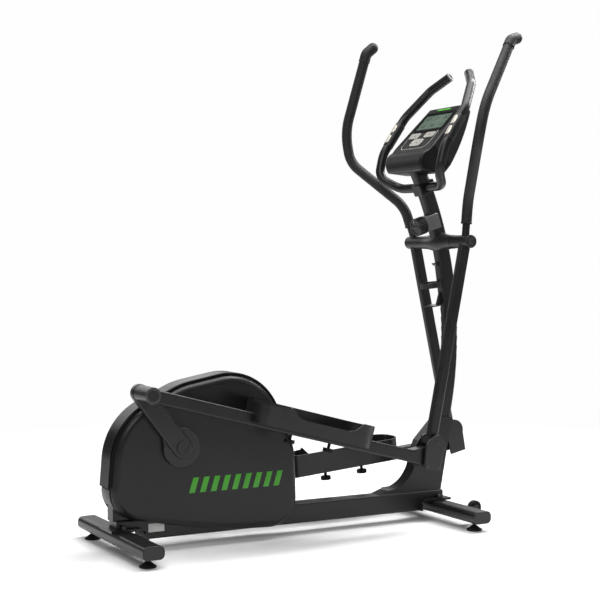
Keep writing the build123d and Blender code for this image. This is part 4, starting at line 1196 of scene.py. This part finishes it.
# ------------------------------------------------------------------ handlebar
@dataclass
class PulseHandle:
    """Moulded carrier and two oval contact plates on one arm of the fixed handlebar."""

    shop: FinishShop
    side: Side
    run: tuple[float, float, float] = (85.0, -6.0, 128.0)
    reach: float = 181.0 * MM
    user_lift: float = 0.15
    carrier_size: tuple[float, float] = (17.2 * MM, 92.0 * MM)
    carrier_sides: int = 56
    carrier_rounding: tuple[float, int] = (1.2 * MM, 3)
    plate_length: float = 37.0 * MM
    plate_cells: tuple[int, int] = (28, 32)
    plate_power: float = 2.6
    plate_spread: float = 2.08
    plate_sweep: float = 82.0
    plate_pitch: float = 42.0 * MM
    plate_radius: float = 18.0 * MM
    plate_crown: float = 0.5 * MM
    plate_wall: float = 1.1 * MM
    plate_smooth: float = 60.0
    cap_size: tuple[float, float] = (16.2 * MM, 5.6 * MM)
    cap_rounding: tuple[float, int] = (1.6 * MM, 4)
    cap_recess: tuple[float, float] = (5.67 * MM, 0.8 * MM)
    cap_sink: float = 1.0 * MM
    end_from_sleeve: tuple[float, float, float] = (146.5 * MM, -125.0 * MM, 199.0 * MM)
    end_way: tuple[float, float, float] = (36.0, -63.0, 43.0)

    def sleeve_centre(self) -> Vector:
        """Middle of the carrier on this side's arm of the bar."""
        centre = centre_of("pulse_sensors")
        centre.y = self.side.value * self.reach
        return centre

    def bar_frame(self) -> Matrix:
        """Frame on the bar: Z along the run, X towards the user."""
        along = (Vector(self.run) * self.side.mirror).normalized()
        user = Vector((-1.0, 0.0, self.user_lift))
        user -= along * user.dot(along)
        return basis(self.sleeve_centre(), user, along)

    def carrier(self) -> bpy.types.Object:
        """Black sleeve that carries the plates.

        Returns:
            The new piece, in place.
        """
        name = f"pulse_carrier_{self.side.word}"
        sleeve = Workshop.drum(name, *self.carrier_size, self.carrier_sides)
        Workshop.round_edges(sleeve, *self.carrier_rounding)
        down = Matrix.Translation((0, 0, -self.carrier_size[1] / 2))
        Workshop.fit(sleeve, self.bar_frame() @ down)
        black = self.shop.get("dark grey moulding")
        return Workshop.deliver(sleeve, "frame", Slot.MOULDED, black)

    def plate(self) -> bpy.types.Object:
        """One oval plate, curved round the local Z axis and facing local X.

        Returns:
            The model of the plate.
        """
        piece = Workshop.sheet("plate_model", *self.plate_cells)

        def outside(mid: Vector, _: Vector) -> bool:
            """Tells whether a face lies beyond the plate's rounded outline.

            Args:
                mid: Middle of the face.

            Returns:
                True if it does.
            """
            return sum((self.plate_spread * abs(part)) ** self.plate_power for part in mid[:2]) > 1

        Workshop.edit_faces(piece, outside)
        bpy.ops.mesh.delete(type="FACE")
        bpy.ops.object.mode_set(mode="OBJECT")
        for vertex in piece.data.vertices:
            angle = math.radians(self.plate_sweep) * vertex.co.x
            height = self.plate_length * vertex.co.y
            swell = self.plate_radius + self.plate_crown * (1.0 - (2 * vertex.co.y) ** 2)
            vertex.co = (swell * math.cos(angle), swell * math.sin(angle), height)
        Workshop.modifier(piece, "SOLIDIFY", thickness=self.plate_wall, offset=0.0)
        Workshop.outward(piece)
        Workshop.modifier(piece, "SMOOTH", factor=0.5, iterations=3)
        return piece

    def end_cap(self) -> None:
        """Grey moulded cap on the end of the bar, with a rounded rim."""
        mirror = self.side.mirror
        way = (Vector(self.end_way) * mirror).normalized()
        end = self.sleeve_centre() + Vector(self.end_from_sleeve) * mirror
        name = f"handlebar_cap_{self.side.word}"
        cap = Workshop.cap(name, self.cap_size, self.cap_rounding, self.cap_recess)
        Workshop.fit(cap, basis(end - way * self.cap_sink, Vector((0, 1, 0)).cross(way), way))
        Workshop.deliver(cap, "frame", Slot.LIGHT, self.shop.get("mid grey moulding"))

    def build(self) -> bpy.types.Object:
        """Makes and delivers the carrier, its plates and the bar's end cap.

        Returns:
            The carrier.
        """
        carrier = self.carrier()
        local = self.bar_frame()
        half = self.plate_pitch / 2
        places = [local @ Matrix.Translation((0, 0, shift)) for shift in (-half, half)]
        plates = Workshop.copies(self.plate(), f"pulse_plates_{self.side.word}", places)
        ivory = self.shop.get("ivory contact plate")
        Workshop.deliver(plates, "frame", Slot.SENSOR, ivory, smooth=self.plate_smooth)
        self.end_cap()
        return carrier


# ------------------------------------------------------------------ console
class Digit(Enum):
    """Seven-segment digits: which of the segments A to G are lit."""

    ZERO = "ABCDEF"
    ONE = "BC"
    TWO = "ABGED"
    FOUR = "FGBC"
    EIGHT = "ABCDEFG"


FIGURES = {
    "0": Digit.ZERO,
    "1": Digit.ONE,
    "2": Digit.TWO,
    "4": Digit.FOUR,
    "8": Digit.EIGHT,
}
QUARTER_TURN = Matrix.Rotation(math.pi / 2, 4, "Z")


@dataclass
class Console:
    """Console face: bezel, accent bar, display marks, key signs and the rim round the keys."""

    shop: FinishShop
    screen: tuple[float, float] = (160.0 * MM, 78.0 * MM)
    screen_up: float = 34.0 * MM
    screen_sink: float = 2.5 * MM
    bezel_rim: float = 9.0 * MM
    bezel_corner: tuple[float, int] = (13.0 * MM, 8)
    bezel_band: tuple[float, float] = (11.0 * MM, 2.6 * MM)
    bezel_rounding: tuple[float, int] = (1.0 * MM, 3)
    bezel_sink: float = 0.2 * MM
    keys_size: tuple[float, float] = (158.0 * MM, 92.0 * MM)
    keys_corner: tuple[float, int] = (24.0 * MM, 10)
    keys_band: tuple[float, float] = (2.4 * MM, 1.0 * MM)
    keys_rounding: tuple[float, int] = (0.35 * MM, 2)
    keys_at: tuple[float, float, float] = (0.0, -52.0 * MM, -0.1 * MM)
    accent_size: tuple[float, float, float] = (78.0 * MM, 8.0 * MM, 0.8 * MM)
    accent_rounding: tuple[float, int] = (0.3 * MM, 2)
    accent_at: tuple[float, float, float] = (0.0, 93.0 * MM, 0.3 * MM)
    digit_size: tuple[float, float] = (8.0 * MM, 14.0 * MM)
    digit_columns: tuple[float, ...] = (-58.0, -44.0, -6.0, 8.0, 44.0, 58.0)
    digit_rows: tuple[tuple[float, str], ...] = ((18.0, "120480"), (-18.0, "402812"))
    marks_sink: float = 0.95 * MM
    segment_share: float = 0.78
    segment: tuple[float, float] = (1.5 * MM, 0.3 * MM)
    divider_columns: tuple[float, ...] = (-25.0, 26.0)
    divider_run: tuple[int, int, int] = (-28, 32, 6)
    divider_scale: float = 0.5
    sign_size: tuple[float, float] = (5.2 * MM, 0.5 * MM)
    sign_rounding: tuple[float, int] = (0.15 * MM, 2)
    sign_up: float = 2.35 * MM
    signs: tuple[tuple[str, float], ...] = (
        ("key_left", 90.0),
        ("key_right", -90.0),
        ("key_middle", 0.0),
    )

    def face_frame(self) -> Matrix:
        """Frame on the face: X to the user's right, Y up the face, Z towards the user."""
        normal = -Vector(JOINTS["key_middle_press"]["axis"])
        across = Vector((0.0, -1.0, 0.0))
        up = normal.cross(across)
        origin = centre_of("console_screen") - up * self.screen_up + normal * self.screen_sink
        return basis(origin, across, normal)

    def spot(self, across: float, up: float, out: float) -> Matrix:
        """Frame at a point of the face, parallel to the face's own frame.

        Args:
            across: How far to the user's right, in metres.
            up: How far up the face.
            out: How far towards the user.

        Returns:
            The frame.
        """
        return self.face_frame() @ Matrix.Translation((across, up, out))

    def bezel(self) -> None:
        """Raised rounded frame round the display."""
        size = tuple(side + 2 * self.bezel_rim for side in self.screen)
        piece = Workshop.rim(
            "display_bezel", size, self.bezel_corner, self.bezel_band, self.bezel_rounding
        )
        Workshop.place(piece, self.spot(0, self.screen_up, -self.bezel_sink))
        Workshop.deliver(piece, "frame", Slot.CONSOLE, self.shop.get("gloss black band"))

    def accent(self) -> None:
        """Plain green bar above the display."""
        bar = Workshop.brick("console_accent", self.accent_size)
        Workshop.round_edges(bar, *self.accent_rounding)
        Workshop.place(bar, self.spot(*self.accent_at))
        Workshop.deliver(bar, "frame", Slot.CONSOLE, self.shop.get("green accent ink"))

    def segments(self, digit: Digit) -> list[Matrix]:
        """Where the lit segments of one digit lie.

        Args:
            digit: The digit.

        Returns:
            A frame for each lit segment, whose bar lies along local X.
        """
        half_w, half_h = self.digit_size[0] / 2, self.digit_size[1] / 2
        level = {"A": half_h, "G": 0.0, "D": -half_h}
        upright = {
            "B": (half_w, half_h / 2),
            "C": (half_w, -half_h / 2),
            "E": (-half_w, -half_h / 2),
            "F": (-half_w, half_h / 2),
        }
        places = []
        for letter in digit.value:
            if letter in level:
                places.append(Matrix.Translation((0.0, level[letter], 0.0)))
            else:
                places.append(Matrix.Translation((*upright[letter], 0.0)) @ QUARTER_TURN)
        return places

    def display_marks(self) -> None:
        """Digits and divider lines under the display's window."""
        width, depth = self.segment
        size = (self.digit_size[0] * self.segment_share, width, depth)
        bar = Workshop.brick("segment_model", size)
        local = self.spot(0, self.screen_up, -self.marks_sink)
        places = []
        for height, digits in self.digit_rows:
            for across, figure in zip(self.digit_columns, digits):
                middle = local @ Matrix.Translation((across * MM, height * MM, 0.0))
                places += [middle @ segment for segment in self.segments(FIGURES[figure])]
        for across in self.divider_columns:
            for up in range(*self.divider_run):
                middle = Matrix.Translation((across * MM, up * MM, 0.0)) @ QUARTER_TURN
                places.append(local @ middle @ Matrix.Scale(self.divider_scale, 4))
        piece = Workshop.copies(bar, "display_marks", places)
        Workshop.deliver(piece, "frame", Slot.SCREEN, self.shop.get("display ink"))

    def key_sign(self, key: str, turn: float) -> None:
        """Small arrow sign on one key.

        Args:
            key: CAD node and body of the key.
            turn: Turn of the arrow in degrees.
        """
        top = self.face_frame().inverted() @ centre_of(key)
        arrow = Workshop.drum(f"{key}_sign", *self.sign_size, sides=3)
        Workshop.round_edges(arrow, *self.sign_rounding)
        spin = Matrix.Rotation(math.radians(turn), 4, "Z")
        Workshop.fit(arrow, self.spot(top.x, top.y, self.sign_up) @ spin)
        Workshop.deliver(arrow, key, Slot.CONSOLE, self.shop.get("display ink"))

    def key_rim(self) -> None:
        """Thin silver frame round the cluster of keys."""
        rim = Workshop.rim(
            "key_cluster_rim",
            self.keys_size,
            self.keys_corner,
            self.keys_band,
            self.keys_rounding,
        )
        Workshop.place(rim, self.spot(*self.keys_at))
        Workshop.deliver(rim, "frame", Slot.KEY, self.shop.get("silver key lacquer"))

    def build(self) -> None:
        """Makes and delivers every piece of the console's face."""
        self.bezel()
        self.accent()
        self.display_marks()
        self.key_rim()
        for key, turn in self.signs:
            self.key_sign(key, turn)


# ------------------------------------------------------------------ tension dial
@dataclass
class TensionDial:
    """Pointer on the face of the tension knob."""

    shop: FinishShop
    pointer: tuple[float, float, float] = (9.0 * MM, 2.6 * MM, 0.8 * MM)
    pointer_rounding: tuple[float, int] = (0.3 * MM, 2)
    pointer_out: float = 21.0 * MM
    pointer_sink: float = 0.1 * MM

    def knob_frame(self) -> Matrix:
        """Frame of the knob: Z along its shaft towards the user, X up the mast."""
        axis = Vector(JOINTS["tension_turn"]["axis"])
        up = Vector((0, 1, 0)).cross(axis)
        return basis(joint_place("tension_turn"), up if up.z > 0 else -up, axis)

    def build(self) -> None:
        """Makes and delivers the pointer."""
        local = self.knob_frame()
        knob = frame["nodes"]["tension_knob"]
        reach = max((local.inverted() @ vertex.co).z for vertex in knob.data.vertices)
        spot = Matrix.Translation((self.pointer_out, 0.0, reach - self.pointer_sink))
        pointer = Workshop.brick("dial_pointer", self.pointer)
        Workshop.round_edges(pointer, *self.pointer_rounding)
        Workshop.place(pointer, local @ spot)
        silver = self.shop.get("silver key lacquer")
        Workshop.deliver(pointer, "tension_dial", Slot.KEY, silver)


# ------------------------------------------------------------------ base
@dataclass
class BaseTrim:
    """Blank label on the beam and hub caps on the transport wheels."""

    shop: FinishShop
    label: tuple[float, float, float] = (52.0 * MM, 0.4 * MM, 26.0 * MM)
    label_rounding: tuple[float, int] = (0.15 * MM, 2)
    label_ahead: float = 108.0 * MM
    label_up: float = 70.0 * MM
    label_sink: float = 0.05 * MM
    beam_half: float = 30.0 * MM
    hub_size: tuple[float, float] = (9.0 * MM, 1.6 * MM)
    hub_sides: int = 32
    hub_rounding: tuple[float, int] = (0.6 * MM, 3)
    hub_recess: tuple[float, float] = (3.0 * MM, 0.8 * MM)
    hub_inset: float = 3.2 * MM

    def rating_label(self) -> None:
        """Blank label low on the side of the beam."""
        label = Workshop.brick("rating_label", self.label)
        Workshop.round_edges(label, *self.label_rounding)
        ahead = centre_of("rear_stabiliser").x + self.label_ahead
        aside = -self.beam_half - self.label[1] / 2 + self.label_sink
        Workshop.place(label, Matrix.Translation((ahead, aside, self.label_up)))
        Workshop.deliver(label, "frame", Slot.LIGHT, self.shop.get("blank label film"))

    def wheel_hub(self, side: Side) -> None:
        """Hub caps on both faces of one transport wheel.

        Args:
            side: Which wheel.
        """
        node = f"transport_wheel_{side.word}"
        inwards = Matrix.Translation((0.0, 0.0, -self.hub_inset))
        places = [face.skin(node, centre_of(node)) @ inwards for face in Side]
        hub = Workshop.cap(
            "hub_model", self.hub_size, self.hub_rounding, self.hub_recess, self.hub_sides
        )
        piece = Workshop.copies(hub, f"wheel_hubs_{side.word}", places)
        Workshop.outward(piece)
        Workshop.deliver(piece, node, Slot.LIGHT, self.shop.get("mid grey moulding"))

    def build(self) -> None:
        """Makes and delivers every piece of trim on the base."""
        self.rating_label()
        for side in Side:
            self.wheel_hub(side)


# ------------------------------------------------------------------ studio
@dataclass(frozen=True)
class Lamp:
    """One soft area light: where it hangs, what it looks at, its sides and its watts."""

    name: str
    at: tuple[float, float, float]
    to: tuple[float, float, float]
    size: tuple[float, float]
    power: float

    def hang(self) -> None:
        """Adds the light, which only shows in what it lights."""
        Workshop.clear()
        bpy.ops.object.light_add(type="AREA", location=self.at)
        lamp = bpy.context.active_object
        lamp.name = self.name
        lamp.data.shape = "RECTANGLE"
        lamp.data.size, lamp.data.size_y = self.size
        lamp.data.energy = self.power
        lamp.visible_camera = False
        lamp.rotation_euler = aim(Vector(self.at), Vector(self.to))


def aim(at: Vector, to: Vector) -> Euler:
    """Turn of a light or camera that stands at one point and looks at another.

    Args:
        at: Where it stands.
        to: What it looks at.

    Returns:
        Its turn.
    """
    return (to - at).to_track_quat("-Z", "Y").to_euler()


@dataclass
class Studio:
    """Plain pale floor, soft lights and the camera."""

    camera_at: tuple[float, float, float] = (-1.4638, -3.7898, 0.8691)
    camera_to: tuple[float, float, float] = (0.6226, 0.0087, 0.7470)
    lens: float = 81.16
    sensor: float = 36.0
    sight: float = 100.0
    floor_size: float = 60.0
    floor_near: float = 1.6
    floor_far: float = 3.6
    floor_cloud: float = 0.4
    floor_greys: tuple[float, float] = (0.90, 0.93)
    floor_roughness: float = 0.75
    floor_specular: float = 0.1
    pale: tuple[float, float, float, float] = (0.99, 0.99, 0.99, 1.0)
    surround_light: float = 0.20
    lamps: tuple[Lamp, ...] = (
        Lamp("key light", (-2.4, -2.6, 3.0), (0.0, 0.0, 0.7), (2.2, 1.6), 40.0),
        Lamp("fill light", (2.8, -2.6, 2.2), (0.0, 0.0, 0.6), (2.4, 2.4), 10.0),
        Lamp("top light", (0.0, 0.0, 4.0), (0.0, 0.0, 0.0), (4.0, 3.0), 170.0),
        Lamp("front strip", (1.9, 0.1, 2.7), (-0.3, -0.1, 0.4), (0.5, 2.2), 70.0),
        Lamp("far wall", (0.9, 4.2, 2.4), (0.0, 0.0, 0.9), (6.0, 2.2), 60.0),
    )

    def floor(self) -> None:
        """Large pale floor, lit near the machine and evenly bright far from it."""
        Workshop.clear()
        bpy.ops.mesh.primitive_plane_add(size=self.floor_size, location=(0.0, 0.0, 0.0))
        floor = Workshop.named("studio_floor")
        material = bpy.data.materials.new("pale floor")
        material.use_nodes = True
        tree = material.node_tree
        shader = tree.nodes["Principled BSDF"]
        shader.inputs["Roughness"].default_value = self.floor_roughness
        shader.inputs["Specular IOR Level"].default_value = self.floor_specular
        place = add_node(tree, "TexCoord").outputs["Object"]
        cloud = add_node(tree, "TexNoise", {"Vector": place, "Scale": self.floor_cloud})
        ramp = add_node(tree, "ValToRGB", {"Fac": cloud.outputs["Fac"]})
        for stop, grey in zip(ramp.color_ramp.elements, self.floor_greys):
            stop.color = (grey, grey, grey, 1.0)
        tree.links.new(ramp.outputs["Color"], shader.inputs["Base Color"])
        away = add_node(tree, "VectorMath", {0: place}, operation="LENGTH").outputs["Value"]
        fade = add_node(
            tree,
            "MapRange",
            {"Value": away, "From Min": self.floor_near, "From Max": self.floor_far},
            interpolation_type="SMOOTHSTEP",
        )
        glow = add_node(tree, "Emission", {"Color": self.pale})
        seen = add_node(tree, "LightPath").outputs["Is Camera Ray"]
        inputs = {0: fade.outputs["Result"], 1: seen}
        shown = add_node(tree, "Math", inputs, operation="MULTIPLY")
        inputs = {0: shown.outputs[0], 1: shader.outputs[0], 2: glow.outputs[0]}
        both = add_node(tree, "MixShader", inputs)
        tree.links.new(both.outputs["Shader"], tree.nodes["Material Output"].inputs["Surface"])
        floor.data.materials.append(material)

    def world(self) -> None:
        """Pale surroundings that light the machine less than they show."""
        world = bpy.data.worlds.new("studio")
        world.use_nodes = True
        tree = world.node_tree
        background = tree.nodes["Background"]
        background.inputs["Color"].default_value = self.pale
        seen = add_node(tree, "LightPath").outputs["Is Camera Ray"]
        limits = {"Value": seen, "To Min": self.surround_light, "To Max": 1.0}
        strength = add_node(tree, "MapRange", limits)
        tree.links.new(strength.outputs["Result"], background.inputs["Strength"])
        bpy.context.scene.world = world
        bpy.context.scene.view_settings.view_transform = "Standard"

    def camera(self) -> None:
        """Camera that sees the machine from its rear right."""
        rear = Vector((centre_of("rear_stabiliser").x, 0, 0))
        at, to = Vector(self.camera_at) + rear, Vector(self.camera_to) + rear
        Workshop.clear()
        bpy.ops.object.camera_add(location=at)
        camera = bpy.context.active_object
        camera.name = "studio_camera"
        camera.data.lens = self.lens
        camera.data.sensor_width = self.sensor
        camera.data.clip_end = self.sight
        camera.rotation_euler = aim(at, to)
        bpy.context.scene.camera = camera

    def build(self) -> None:
        """Sets up the floor, the lights and the camera."""
        self.floor()
        self.world()
        for lamp in self.lamps:
            lamp.hang()
        self.camera()


def main() -> None:
    """Dresses the frame, builds every piece of trim and sets up the studio."""
    logging.basicConfig(level=logging.INFO, format="%(name)s: %(message)s")
    shop = FinishShop()
    shop.dress_cad()
    Shroud(shop).build()
    for side in Side:
        CrankTrim(shop, side).build()
        PedalTread(shop, side).build()
        ArmTrim(shop, side).build()
        AxleTrim(shop, side).build()
        PulseHandle(shop, side).build()
    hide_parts("pulse_sensors")
    Console(shop).build()
    TensionDial(shop).build()
    BaseTrim(shop).build()
    Studio().build()


if __name__ == "__main__":
    main()
